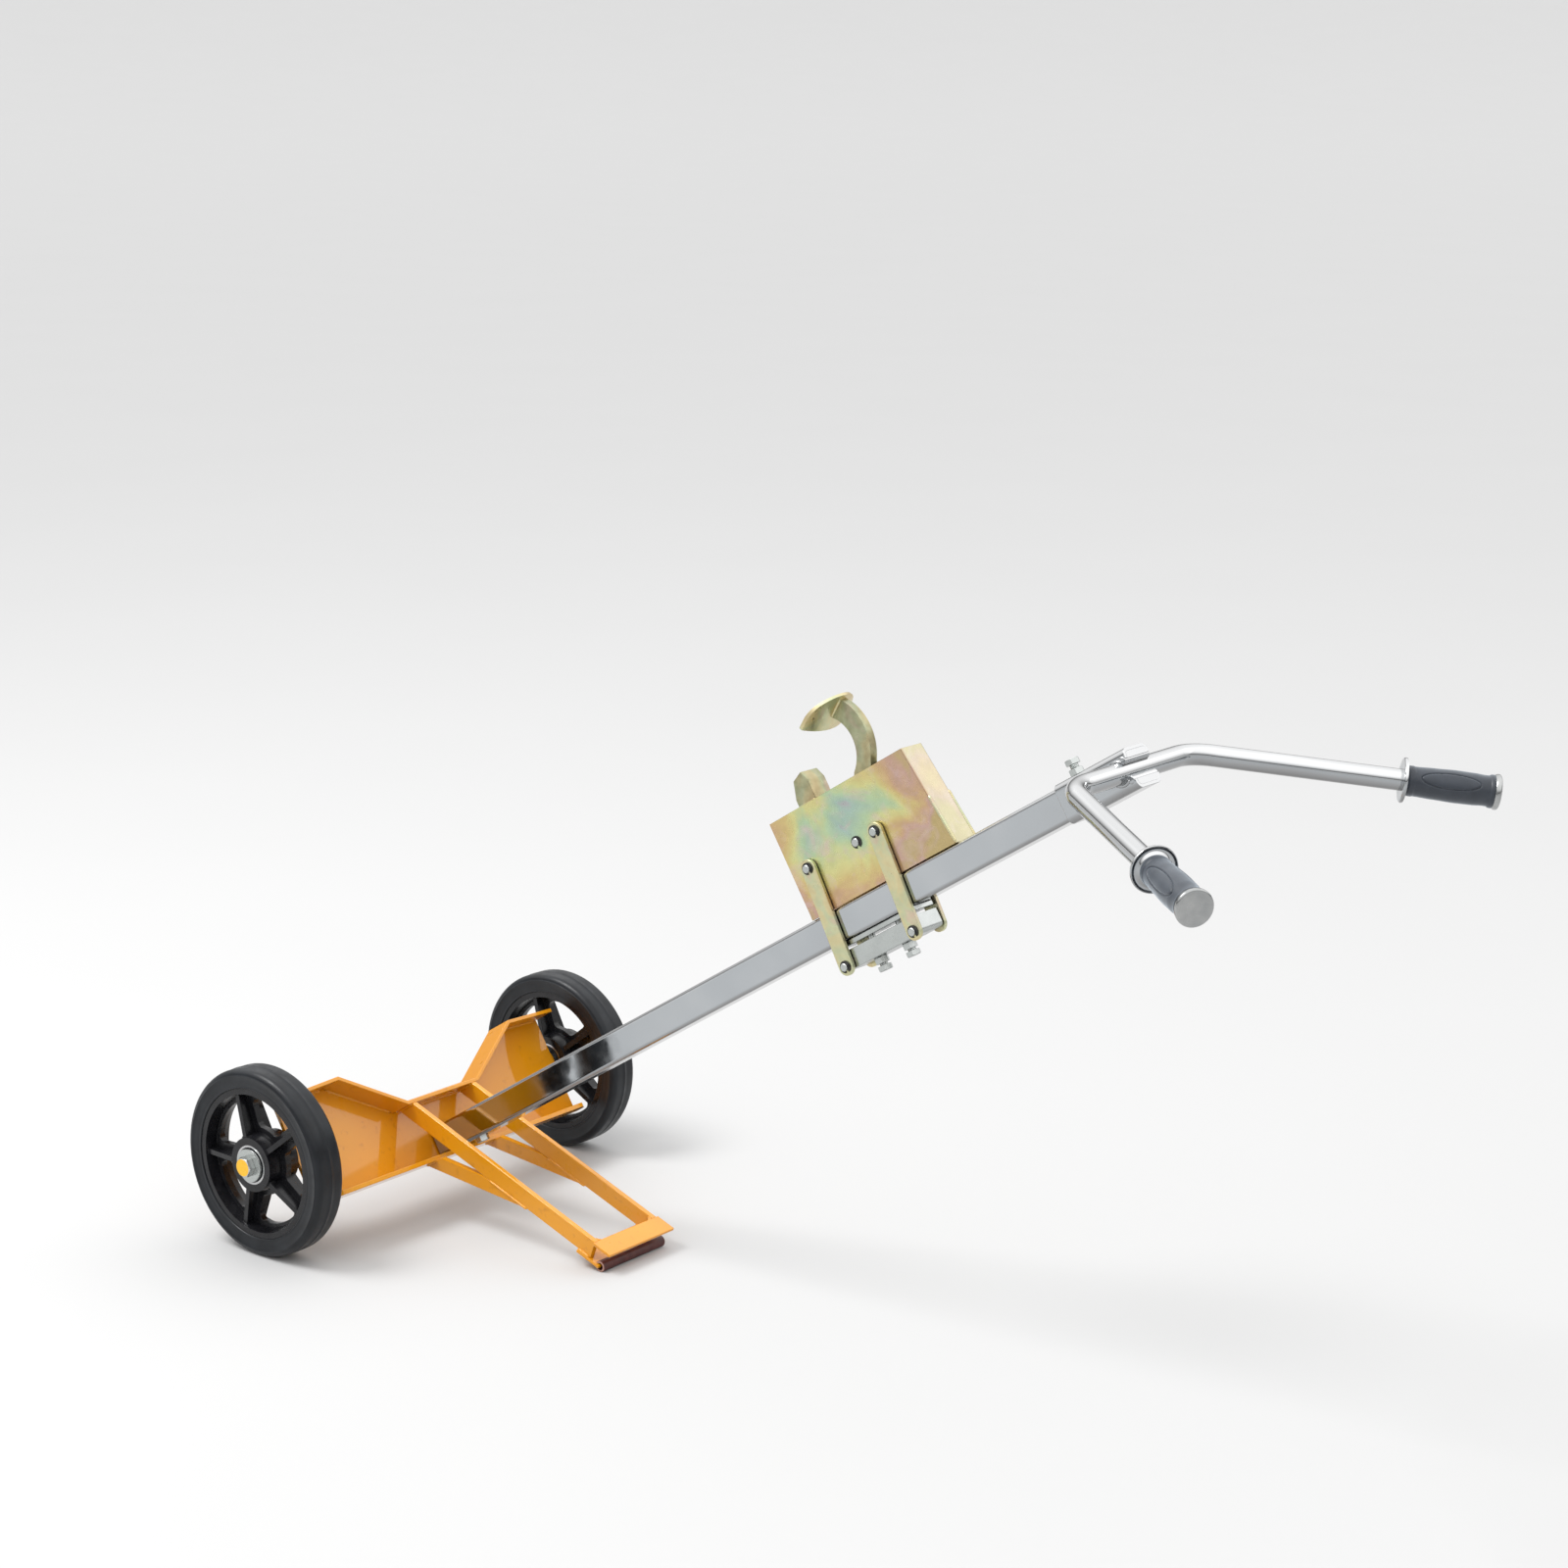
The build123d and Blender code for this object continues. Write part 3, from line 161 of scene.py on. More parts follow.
class Shader:
    """A material's node tree, with one principled shader and the object's own coordinates."""

    def __init__(self, name):
        self.material = bpy.data.materials.new(name)
        self.material.use_nodes = True
        self.tree = self.material.node_tree
        self.main = self.tree.nodes["Principled BSDF"]
        self.coordinates = self.tree.nodes.new("ShaderNodeTexCoord")
        self.place = self.coordinates.outputs["Object"]
        self.relief = None

    def set(self, **values):
        """Plain numbers on the shader's own sockets."""
        for name, value in values.items():
            label = name.replace("_", " ").title().replace("Ior", "IOR")
            self.main.inputs[label].default_value = value

    def link(self, output, name):
        self.tree.links.new(output, self.main.inputs[name])

    def vector_math(self, operation, first, second):
        node = self.tree.nodes.new("ShaderNodeVectorMath")
        node.operation = operation
        self.tree.links.new(first, node.inputs[0])
        node.inputs[1].default_value = second
        return node

    def math(self, operation, first, second=None):
        node = self.tree.nodes.new("ShaderNodeMath")
        node.operation = operation
        for socket, value in zip(node.inputs, (first, second)):
            if isinstance(value, float):
                socket.default_value = value
            elif value is not None:
                self.tree.links.new(value, socket)
        return node.outputs["Value"]

    def noise(self, scale, detail=3.0, roughness=0.5, distortion=0.0, vector=None):
        node = self.tree.nodes.new("ShaderNodeTexNoise")
        node.inputs["Scale"].default_value = scale
        node.inputs["Detail"].default_value = detail
        node.inputs["Roughness"].default_value = roughness
        node.inputs["Distortion"].default_value = distortion
        self.tree.links.new(vector or self.place, node.inputs["Vector"])
        return node.outputs["Fac"]

    def ramp(self, factor, *stops):
        """A colour band: stops are (place, colour or grey)."""
        node = self.tree.nodes.new("ShaderNodeValToRGB")
        band = node.color_ramp.elements
        while len(band) < len(stops):
            band.new(1.0)
        for element, (place, colour) in zip(band, stops):
            element.position = place
            grey = isinstance(colour, float)
            element.color = (colour, colour, colour, 1.0) if grey else (*colour, 1.0)
        self.tree.links.new(factor, node.inputs["Fac"])
        return node.outputs["Color"]

    def mix(self, factor, first, second, mode="MIX"):
        """Two colours joined by a factor that changes over the surface."""
        node = self.tree.nodes.new("ShaderNodeMix")
        node.data_type = "RGBA"
        node.blend_type = mode
        self.tree.links.new(factor, node.inputs["Factor"])
        for socket, value in (("A", first), ("B", second)):
            target = [i for i in node.inputs if i.name == socket and i.type == "RGBA"][0]
            if isinstance(value, tuple):
                target.default_value = (*value, 1.0)
            else:
                self.tree.links.new(value, target)
        return [o for o in node.outputs if o.type == "RGBA"][0]

    def along(self, centre, axis):
        """How far each point lies from a centre along a direction, in metres."""
        away = self.vector_math("SUBTRACT", self.place, centre)
        return self.vector_math("DOT_PRODUCT", away.outputs["Vector"], axis).outputs["Value"]

    def from_axis(self, centre, axis):
        """How far each point lies from a line, in metres."""
        away = self.vector_math("SUBTRACT", self.place, centre)
        cross = self.vector_math("CROSS_PRODUCT", away.outputs["Vector"], axis)
        length = self.tree.nodes.new("ShaderNodeVectorMath")
        length.operation = "LENGTH"
        self.tree.links.new(cross.outputs["Vector"], length.inputs[0])
        return length.outputs["Value"]

    def facing(self, direction):
        """How far each face looks along a direction of the object."""
        return self.vector_math("DOT_PRODUCT", self.coordinates.outputs["Normal"], direction).outputs["Value"]

    def upward(self, spread):
        """How far each face looks up, from 0.5 for an upright one; spread is the most it differs."""
        return self.math("ADD", self.math("MULTIPLY", self.facing(UP), spread), 0.5)

    def drift(self, noise, spread):
        """A noise as a change to either side of nothing."""
        return self.math("MULTIPLY", self.math("SUBTRACT", noise, 0.5), spread)

    def bump(self, height, depth, strength=1.0):
        """Adds a layer of relief; depth is in millimetres."""
        node = self.tree.nodes.new("ShaderNodeBump")
        node.inputs["Strength"].default_value = strength
        node.inputs["Distance"].default_value = depth * MM
        self.tree.links.new(height, node.inputs["Height"])
        if self.relief is not None:
            self.tree.links.new(self.relief, node.inputs["Normal"])
        self.relief = node.outputs["Normal"]
        self.link(self.relief, "Normal")


def paint_material():
    """Glossy machine enamel over welded plate."""
    m = Shader("yellow_enamel")
    colour = m.ramp(m.noise(7.0, 2.0), (0.3, (0.64, 0.245, 0.002)), (0.7, (0.70, 0.290, 0.004)))
    grime = m.ramp(m.noise(90.0, 3.0), (0.60, 0.0), (0.9, 0.6))
    m.link(m.mix(grime, colour, (0.30, 0.09, 0.004)), "Base Color")
    m.link(m.ramp(m.noise(30.0), (0.3, 0.26), (0.7, 0.4)), "Roughness")
    m.set(specular_ior_level=0.15, coat_weight=1.0, coat_roughness=0.02)
    m.bump(m.noise(20.0, 1.0), 0.4, 0.2)
    m.bump(m.noise(300.0, 1.0), 0.015, 0.3)
    return m.material


def chrome_material():
    """Bright chrome plate on drawn tube, a little uneven, with painted shade: darker where it looks down in place
    of the ground's reflection, and a little darker on faces that look almost straight up.
    """
    m = Shader("chrome_plate")
    m.set(metallic=1.0)
    # Painted reflection and shade: the base colour follows how far each face looks up, darkest downwards, dipping
    # again at the very top
    tone = m.math("ADD", m.upward(0.5), m.drift(m.noise(9.0, 2.0), 0.16))
    painted_shade_stops = (
        (0.10, (0.25, 0.25, 0.25)),
        (0.32, (0.34, 0.345, 0.35)),
        (0.50, (0.43, 0.453, 0.47)),
        (0.70, (0.64, 0.645, 0.65)),
        (0.86, (0.63, 0.635, 0.64)),
        (0.95, (0.53, 0.535, 0.54)),
    )
    m.link(m.ramp(tone, *painted_shade_stops), "Base Color")
    m.link(m.ramp(m.noise(50.0, 4.0), (0.35, 0.05), (0.7, 0.12)), "Roughness")
    m.bump(m.noise(9.0, 1.0), 0.4, 0.1)
    return m.material


def rainbow_material():
    """Yellow passivated zinc on the carriage: teal in the middle, then yellow, brown and pink, with a painted
    highlight on faces that look up the mast.
    """
    m = Shader("rainbow_zinc")
    m.set(metallic=0.9)
    middle = on_mast(TINT_S, TINT_W)
    reach = m.math("POWER", m.math("MULTIPLY", m.along(middle, ALONG), 1000.0 / TINT_REACH), 2.0)
    rise = m.math("POWER", m.math("MULTIPLY", m.along(middle, SQUARE), 1000.0 / TINT_RISE), 2.0)
    edge = m.math("POWER", m.math("ADD", reach, rise), 0.5)
    drift = m.drift(m.noise(11.0, 4.0, 0.5, 0.8), 1.3)
    tint = m.math("ADD", m.math("ADD", m.math("MULTIPLY", edge, 0.62), drift), 0.16)
    colour = m.ramp(
        tint,
        (0.00, (0.44, 0.38, 0.42)),
        (0.08, (0.37, 0.50, 0.43)),
        (0.30, (0.44, 0.57, 0.36)),
        (0.48, (0.63, 0.61, 0.28)),
        (0.64, (0.62, 0.49, 0.22)),
        (0.76, (0.56, 0.38, 0.22)),
        (0.86, (0.53, 0.35, 0.28)),
        (0.97, (0.50, 0.39, 0.19)),
    )
    bloom = m.ramp(m.noise(30.0, 4.0, 0.6, 0.8), (0.54, 0.0), (0.74, 0.55))
    colour = m.mix(bloom, colour, (0.64, 0.48, 0.47))
    mottle = m.ramp(m.noise(110.0, 4.0), (0.3, (0.86, 0.86, 0.83)), (0.7, (1.0, 1.0, 1.0)))
    colour = m.mix(m.noise(20.0), colour, mottle, "MULTIPLY")
    # Painted highlight: faces that look up the mast, such as the rear plate, are mixed towards a pale grey-green
    rear = m.ramp(m.facing(ALONG), (0.6, 0.0), (0.9, 0.45))
    m.link(m.mix(rear, colour, (0.52, 0.56, 0.44)), "Base Color")
    m.link(m.ramp(m.noise(60.0, 4.0), (0.3, 0.2), (0.7, 0.34)), "Roughness")
    m.bump(m.noise(300.0, 3.0), 0.02, 0.3)
    return m.material


def pale_zinc_material(name, tone, shade, grain, depth):
    """Paler passivated zinc; grain and depth set how rough the metal under it is."""
    m = Shader(name)
    m.set(metallic=0.9)
    tints = (
        (0.32, (0.68, 0.55, 0.31)),
        (0.45, (0.70, 0.63, 0.37)),
        (0.55, (0.61, 0.64, 0.41)),
        (0.66, (0.68, 0.55, 0.41)),
    )
    stops = [(place, tuple(tone * part for part in colour)) for place, colour in tints]
    colour = m.ramp(m.noise(22.0, 3.0, 0.5, 0.7), *stops)
    patch = m.ramp(m.noise(90.0, 3.0), (0.3, shade), (0.7, (1.0, 1.0, 1.0)))
    m.link(m.mix(m.noise(30.0), colour, patch, "MULTIPLY"), "Base Color")
    m.link(m.ramp(m.noise(110.0, 4.0), (0.3, 0.26), (0.7, 0.42)), "Roughness")
    m.bump(m.noise(grain, 4.0), depth, 0.6)
    return m.material


def silver_material():
    """Clear zinc on the clamp, bolts and pins, with painted shade: darker where it looks down."""
    m = Shader("silver_zinc_plate")
    m.set(metallic=1.0)
    # Painted shade: the base colour follows how far each face looks up, darkest downwards
    tone = m.math("ADD", m.upward(0.4), m.drift(m.noise(45.0, 4.0), 0.22))
    painted_shade_stops = (
        (0.10, (0.22, 0.23, 0.225)),
        (0.50, (0.46, 0.485, 0.472)),
        (0.85, (0.60, 0.62, 0.61)),
    )
    m.link(m.ramp(tone, *painted_shade_stops), "Base Color")
    m.link(m.ramp(m.noise(120.0, 3.0), (0.3, 0.20), (0.7, 0.30)), "Roughness")
    m.bump(m.noise(60.0, 2.0), 0.04, 0.3)
    return m.material


def marked_bolt_material():
    """Clear zinc with a dab of paint over the outer face of each wheel bolt."""
    m = Shader("marked_bolt")
    dab = m.ramp(m.math("ABSOLUTE", m.facing(ACROSS)), (0.90, 0.0), (0.97, 1.0))
    steel = m.ramp(m.noise(60.0), (0.3, (0.50, 0.51, 0.51)), (0.7, (0.62, 0.63, 0.62)))
    m.link(m.mix(dab, steel, (0.86, 0.46, 0.012)), "Base Color")
    m.link(m.ramp(dab, (0.0, 1.0), (1.0, 0.0)), "Metallic")
    m.link(m.ramp(m.noise(120.0), (0.3, 0.2), (0.7, 0.36)), "Roughness")
    m.bump(m.noise(200.0), 0.05, 0.4)
    return m.material


def spring_material():
    """Oiled black spring steel."""
    m = Shader("spring_black")
    m.set(metallic=0.9)
    m.link(m.ramp(m.noise(200.0), (0.3, (0.03, 0.03, 0.032)), (0.7, (0.09, 0.088, 0.085))), "Base Color")
    m.link(m.ramp(m.noise(300.0), (0.3, 0.3), (0.7, 0.5)), "Roughness")
    return m.material


def casting_material():
    """Black gloss paint over a sand casting."""
    m = Shader("painted_casting")
    tone = m.noise(60.0, 3.0)
    m.link(m.ramp(tone, (0.3, (0.004, 0.004, 0.005)), (0.7, (0.010, 0.010, 0.012))), "Base Color")
    m.link(m.ramp(m.noise(80.0, 4.0), (0.3, 0.16), (0.7, 0.34)), "Roughness")
    m.set(specular_ior_level=0.35)
    m.bump(m.noise(70.0, 3.0), 0.4, 0.3)
    m.bump(m.noise(420.0, 3.0), 0.05, 0.3)
    return m.material


def tyre_material():
    """Solid rubber with a turned mould's fine rings and some dust."""
    m = Shader("tyre_black")
    radius = m.from_axis(AXLE, ACROSS)
    tone = m.noise(35.0, 5.0)
    m.link(m.ramp(tone, (0.35, (0.005, 0.006, 0.008)), (0.72, (0.012, 0.0145, 0.018))), "Base Color")
    m.link(m.ramp(m.noise(110.0, 4.0), (0.3, 0.28), (0.7, 0.42)), "Roughness")
    m.set(specular_ior_level=0.3)
    m.bump(m.noise(1.0, 1.0, vector=m.math("MULTIPLY", radius, 900.0)), 0.1, 0.3)
    m.bump(m.noise(400.0, 3.0), 0.06, 0.4)
    return m.material


def sleeve_material():
    """Red-brown rubber hose, paler where it is cut."""
    m = Shader("sleeve_rubber_red")
    cut = m.ramp(m.math("ABSOLUTE", m.facing(ACROSS)), (0.8, 0.0), (0.95, 1.0))
    skin = m.ramp(m.noise(80.0, 4.0), (0.3, (0.050, 0.010, 0.008)), (0.7, (0.10, 0.024, 0.019)))
    m.link(m.mix(cut, skin, (0.36, 0.20, 0.16)), "Base Color")
    m.link(m.ramp(m.noise(150.0), (0.3, 0.36), (0.7, 0.56)), "Roughness")
    m.bump(m.noise(200.0, 3.0), 0.15, 0.4)
    return m.material


def grip_material():
    """Moulded rubber with a fine matt grain."""
    m = Shader("grip_rubber_grey")
    tone = m.noise(50.0, 4.0)
    m.link(m.ramp(tone, (0.3, (0.018, 0.023, 0.032)), (0.7, (0.030, 0.037, 0.050))), "Base Color")
    m.link(m.ramp(m.noise(130.0), (0.3, 0.38), (0.7, 0.5)), "Roughness")
    m.set(specular_ior_level=0.5)
    m.set(sheen_weight=0.6, sheen_roughness=0.4, sheen_tint=(0.80, 0.90, 1.0, 1.0))
    m.bump(m.noise(1200.0, 2.0), 0.05, 0.5)
    return m.material


def turned_material():
    """Turned steel on the grips' rings and caps, with fine tool rings about each arm."""
    m = Shader("turned_steel")
    m.set(metallic=1.0)
    m.link(m.ramp(m.noise(70.0), (0.3, (0.34, 0.35, 0.35)), (0.7, (0.43, 0.435, 0.43))), "Base Color")
    near = m.from_axis(on_arm(-1, 0.0), arm_axis(-1))
    far = m.from_axis(on_arm(1, 0.0), arm_axis(1))
    rings = m.noise(1.0, 2.0, vector=m.math("MULTIPLY", m.math("MINIMUM", near, far), 1600.0))
    m.link(m.ramp(rings, (0.3, 0.12), (0.7, 0.3)), "Roughness")
    m.bump(rings, 0.03, 0.5)
    return m.material


def bearing_material():
    """Ground bearing steel."""
    m = Shader("ground_steel")
    m.set(metallic=1.0)
    m.link(m.ramp(m.noise(80.0), (0.3, (0.46, 0.46, 0.47)), (0.7, (0.58, 0.58, 0.58))), "Base Color")
    m.link(m.ramp(m.noise(250.0), (0.3, 0.2), (0.7, 0.36)), "Roughness")
    return m.material


MATERIALS = {
    "yellow_paint": paint_material(),
    "chrome": chrome_material(),
    "yellow_zinc": rainbow_material(),
    "silver_zinc": silver_material(),
    "spring_steel": spring_material(),
    "black_casting": casting_material(),
    "tyre_rubber": tyre_material(),
    "sleeve_rubber": sleeve_material(),
    "grip_rubber": grip_material(),
    "grip_steel": turned_material(),
    "bearing_steel": bearing_material(),
}
PALE_ZINC = pale_zinc_material("pale_zinc", 0.93, (0.8, 0.8, 0.78), 300.0, 0.05)
ROUGH_ZINC = pale_zinc_material("forged_zinc", 0.68, (0.4, 0.4, 0.33), 150.0, 0.3)
BOLT_FACE = marked_bolt_material()
OTHER_MATERIALS = {
    "wheel_bolts": BOLT_FACE,
    "hook_arm": ROUGH_ZINC,
    "lower_jaw": ROUGH_ZINC,
    "hook_lip": PALE_ZINC,
    "hook_stop_bar": PALE_ZINC,
    "hook_spacers": PALE_ZINC,
    "front_link_left": PALE_ZINC,
    "front_link_right": PALE_ZINC,
    "rear_link_left": PALE_ZINC,
    "rear_link_right": PALE_ZINC,
}


def dress(node, material):
    """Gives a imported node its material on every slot."""
    slots = frame["nodes"][node].data.materials
    slots.clear()
    slots.append(material)


for entry in frame["record"]["subparts"]:
    node = entry["node"]
    dress(node, OTHER_MATERIALS.get(node, MATERIALS[entry["material_slot"]]))

# Edges of cut, cast and rolled pieces are a little round: width in millimetres
EDGES = {
    "cross_beam": 0.8,
    "left_wheel": 1.5,
    "right_wheel": 1.5,
    "left_axle_boss": 0.6,
    "right_axle_boss": 0.6,
    "left_leg": 0.6,
    "right_leg": 0.6,
    "left_strut": 1.0,
    "right_strut": 1.0,
    "foot_plate": 0.8,
    "foot_lip": 0.8,
    "carriage_box": 0.5,
    "hook_arm": 1.6,
    "hook_lip": 1.0,
    "lower_jaw": 1.0,
    "clamp_bar": 1.0,
    "clamp_shoe": 0.8,
    "adjusting_bolts": 0.3,
    "lock_nuts": 0.3,
    "socket_bolt": 0.3,
    "socket_nut": 0.3,
    "mast_bolt": 0.3,
    "wheel_bolts": 0.5,
    "handle_socket": 0.5,
    "end_washers": 0.5,
    "left_grip_cap": 0.6,
    "right_grip_cap": 0.6,
    "foot_sleeve": 0.5,
}
EDGE_ANGLE = radians(35.0)
FLAT_ANGLE = radians(0.3)
WELD_DISTANCE = 1e-5
EDGE_SEGMENTS = 2


def soften(node, width):
    """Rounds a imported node's sharp edges, leaving its own mesh alone."""
    thing = frame["nodes"][node]
    weld = thing.modifiers.new("weld", "WELD")
    weld.merge_threshold = WELD_DISTANCE
    flat = thing.modifiers.new("flat", "DECIMATE")
    flat.decimate_type = "DISSOLVE"
    flat.angle_limit = FLAT_ANGLE
    bevel = thing.modifiers.new("edge", "BEVEL")
    bevel.limit_method = "ANGLE"
    bevel.angle_limit = EDGE_ANGLE
    bevel.width = width * MM
    bevel.segments = EDGE_SEGMENTS
    bevel.harden_normals = True
    shade = thing.modifiers.new("shade", "WEIGHTED_NORMAL")
    shade.keep_sharp = True


for node, width in EDGES.items():
    soften(node, width)


# Mesh helpers for the detail pieces


class Piece:
    """Points and faces of one detail piece, in the row frame."""

    def __init__(self):
        self.points = []
        self.faces = []

    def ring(self, centre, first, second, radius, count):
        """Adds a ring of points; radius is a number or a function of the angle, in metres."""
        start = len(self.points)
        for k in range(count):
            angle = 2 * pi * k / count
            reach = radius(angle) if callable(radius) else radius
            self.points.append(centre + (first * cos(angle) + second * sin(angle)) * reach)
        return start

    def skin(self, low, high, count):
        """Joins two rings with faces."""
        for k in range(count):
            after = (k + 1) % count
            self.faces.append((low + k, low + after, high + after, high + k))

    def lid(self, start, count, turn):
        """Closes a ring with one face."""
        order = range(start, start + count) if turn > 0 else range(start + count - 1, start - 1, -1)
        self.faces.append(tuple(order))

    def finish(self, name, body, slot, material=None, crease=40.0):
        """Makes the piece an object that rides on a body; edges over crease degrees stay sharp."""
        mesh = bpy.data.meshes.new(name)
        mesh.from_pydata(self.points, [], self.faces)
        for polygon in mesh.polygons:
            polygon.use_smooth = True
        mesh.set_sharp_from_angle(angle=radians(crease))
        mesh.materials.append(material or MATERIALS[slot])
        thing = bpy.data.objects.new(name, mesh)
        bpy.context.scene.collection.objects.link(thing)
        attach(thing, body)
        return thing


# An axis steeper than this is not crossed with the upright direction
STEEP = 0.9


def square_to(axis):
    """Two directions square to an axis and to each other."""
    helper = UP if abs(axis.z) < STEEP else ACROSS
    first = axis.cross(helper).normalized()
    return first, axis.cross(first)


def add_lathe(piece, origin, axis, profile, count):
    """Turns a closed outline of (distance along the axis, radius) in millimetres."""
    first, second = square_to(axis)
    starts = [piece.ring(origin + axis * a * MM, first, second, r * MM, count) for a, r in profile]
    for low, high in zip(starts, starts[1:] + starts[:1]):
        piece.skin(low, high, count)


def arc_points(centre, radius, start, stop, steps):
    """Points of an arc as (x, y), angles in degrees."""
    found = []
    for i in range(steps + 1):
        angle = radians(start + (stop - start) * i / steps)
        found.append((centre[0] + radius * cos(angle), centre[1] + radius * sin(angle)))
    return found


# Weld beads: overlapping ripples along a joint
BEAD_PITCH = 2.4
BEAD_STEPS = 6
BEAD_COUNT = 12
BEAD_RIPPLE = 0.08
BEAD_TAPER = 3.0
BEAD_TIP = 0.3
BEAD_CREASE = 80.0


def walk(points, step):
    """Points every step along a line of straight runs, in metres."""
    lengths = [(b - a).length for a, b in zip(points, points[1:])]
    total = sum(lengths)
    count = max(2, round(total / step))
    found = []
    for i in range(count + 1):
        left = total * i / count
        for (a, b), length in zip(zip(points, points[1:]), lengths):
            if left <= length or b is points[-1]:
                found.append(a.lerp(b, min(1.0, left / length)))
                break
            left -= length
    return found, total


def add_bead(piece, points, radius, depth=BEAD_RIPPLE, taper=BEAD_TAPER):
    """A weld along the points; depth is the ripples' share of its radius, taper its ends' length."""
    step = BEAD_PITCH * MM / BEAD_STEPS
    line, total = walk(points, step)
    starts = []
    for i, here in enumerate(line):
        ahead = line[min(i + 1, len(line) - 1)] - line[max(i - 1, 0)]
        first, second = square_to(ahead.normalized())
        done = total * i / (len(line) - 1) / MM
        rest = total / MM - done
        ripple = 1.0 - depth * (1.0 - cos(2 * pi * done / BEAD_PITCH)) / 2
        end = sqrt(min(1.0, (min(done, rest) + BEAD_TIP) / taper))
        starts.append(piece.ring(here, first, second, radius * ripple * end * MM, BEAD_COUNT))
    for low, high in zip(starts, starts[1:]):
        piece.skin(low, high, BEAD_COUNT)
    piece.lid(starts[0], BEAD_COUNT, -1)
    piece.lid(starts[-1], BEAD_COUNT, 1)


# Radii of the frame's beads, in millimetres
STRIP_BEAD = 2.6
BOSS_BEAD = 2.6
LEG_BEAD = 2.4
STRUT_BEAD = 2.2
HEEL_BEAD = 1.8
LIP_BEAD = 2.8
CORNER_BEAD = 2.2
FOOT_BEAD = 2.4

# Where they run: short of the strip's bends and the legs' ends, and round the foot plate's corners
BEND_GAP = 5.0
HEEL_LENGTH = 70.0
LEG_SINK = 0.5
LEG_SHORT = 2.0
LIP_SHORT = 1.0
CORNER_REACH = 7.0
CORNER_ROUND = 2.0


def frame_welds():
    """Beads that join the beam, strip, bosses, legs, struts and foot."""
    piece = Piece()
    for (y0, w0), (y1, w1) in zip(STRIP_UNDER, STRIP_UNDER[1:]):
        start = Vector((WEB_FRONT, w0, y0))
        stop = Vector((WEB_FRONT, w1, y1))
        short = (stop - start).normalized() * BEND_GAP
        add_bead(piece, [on_mast(*(start + short)), on_mast(*(stop - short))], STRIP_BEAD)
    leg_back = LEG_HEIGHT / sin(atan2(ALONG.z, ALONG.x) + radians(LEG_SLOPE))
    boss_w = sqrt(BOSS_R ** 2 - WEB_BACK ** 2)
    for _, turn in SIDES:
        for face in (-1, 1):
            y = turn * LEG_Y + face * LEG_HALF
            seat = [on_mast(s, -LEG_SINK, y) for s in (FLANGE_EDGE - leg_back, FLANGE_EDGE - LEG_SHORT)]
            add_bead(piece, seat, LEG_BEAD)
            foot = [on_mast(s, FLANGE_UNDER, y) for s in (STRUT_START, FLANGE_EDGE)]
            add_bead(piece, foot, STRUT_BEAD)
            heel = [on_leg(run, -LEG_HEIGHT, y) for run in (STRUT_REACH - HEEL_LENGTH, STRUT_REACH)]
            add_bead(piece, heel, HEEL_BEAD)
            lip = [on_leg(run, -LEG_HEIGHT, y) for run in (LEG_LENGTH - LIP_BACK, LEG_LENGTH - LIP_SHORT)]
            add_bead(piece, lip, LIP_BEAD)
        inside = turn * (LEG_Y - LEG_HALF)
        corner = [
            on_leg(LEG_LENGTH - CORNER_REACH, -CORNER_ROUND, inside),
            on_leg(LEG_LENGTH - CORNER_ROUND, -CORNER_ROUND, inside - turn * CORNER_ROUND),
            on_leg(LEG_LENGTH, -CORNER_ROUND, inside - turn * CORNER_REACH),
        ]
        add_bead(piece, corner, CORNER_BEAD)
        low = [on_leg(LEG_LENGTH, -FOOT_THICKNESS, turn * LEG_Y + k * LEG_HALF) for k in (-1, 1)]
        add_bead(piece, low, FOOT_BEAD)
        for side in (-1, 1):
            boss = [on_mast(WEB_BACK, side * boss_w, turn * y) for y in (BOSS_INNER, BEAM_HALF)]
            add_bead(piece, boss, BOSS_BEAD)
    piece.finish("frame_welds", "truck_frame", "yellow_paint", crease=BEAD_CREASE)


# Beads on the carriage: up the lower share of its rear corners, and beside the jaw
CARRIAGE_BEAD = 2.2
CARRIAGE_INSET = 1.0
CARRIAGE_SHARE = 0.5
JAW_BEAD = 2.0
JAW_SINK = 0.5
BEAK_BEAD = 2.0


def carriage_welds():
    """Ripples up the carriage's rear corners, and beads that hold the jaw."""
    piece = Piece()
    rear = BOX_REAR - CARRIAGE_INSET
    seam_top = BOX_LOW + (BOX_HIGH - BOX_LOW) * CARRIAGE_SHARE
    seam = [(rear, BOX_LOW + CARRIAGE_INSET), (rear - BOX_RAKE * CARRIAGE_SHARE, seam_top)]
    start = BOX_FRONT + JAW_START
    for _, turn in SIDES:
        corner = [on_mast(s, w, turn * (BOX_HALF - CARRIAGE_INSET)) for s, w in seam]
        add_bead(piece, corner, CARRIAGE_BEAD)
        y = turn * (BOX_HALF - BOX_PLATE)
        jaw = [on_mast(s, BOX_HIGH - JAW_SINK, y) for s in (start, start + JAW_LENGTH)]
        add_bead(piece, jaw, JAW_BEAD)
    piece.finish("carriage_welds", "carriage", "yellow_zinc", PALE_ZINC, crease=BEAD_CREASE)


def beak_welds():
    """Beads where the arm meets the lip."""
    piece = Piece()
    for turn in (-1, 1):
        ends = []
        for s, w in (HOOK_TIP_INNER, HOOK_TIP_OUTER):
            ends.append(on_mast(HOOK_PIN[0] + s, HOOK_PIN[1] + w, turn * HOOK_HALF))
        add_bead(piece, ends, BEAK_BEAD)
    piece.finish("beak_welds", "beak", "yellow_zinc", PALE_ZINC, crease=BEAD_CREASE)


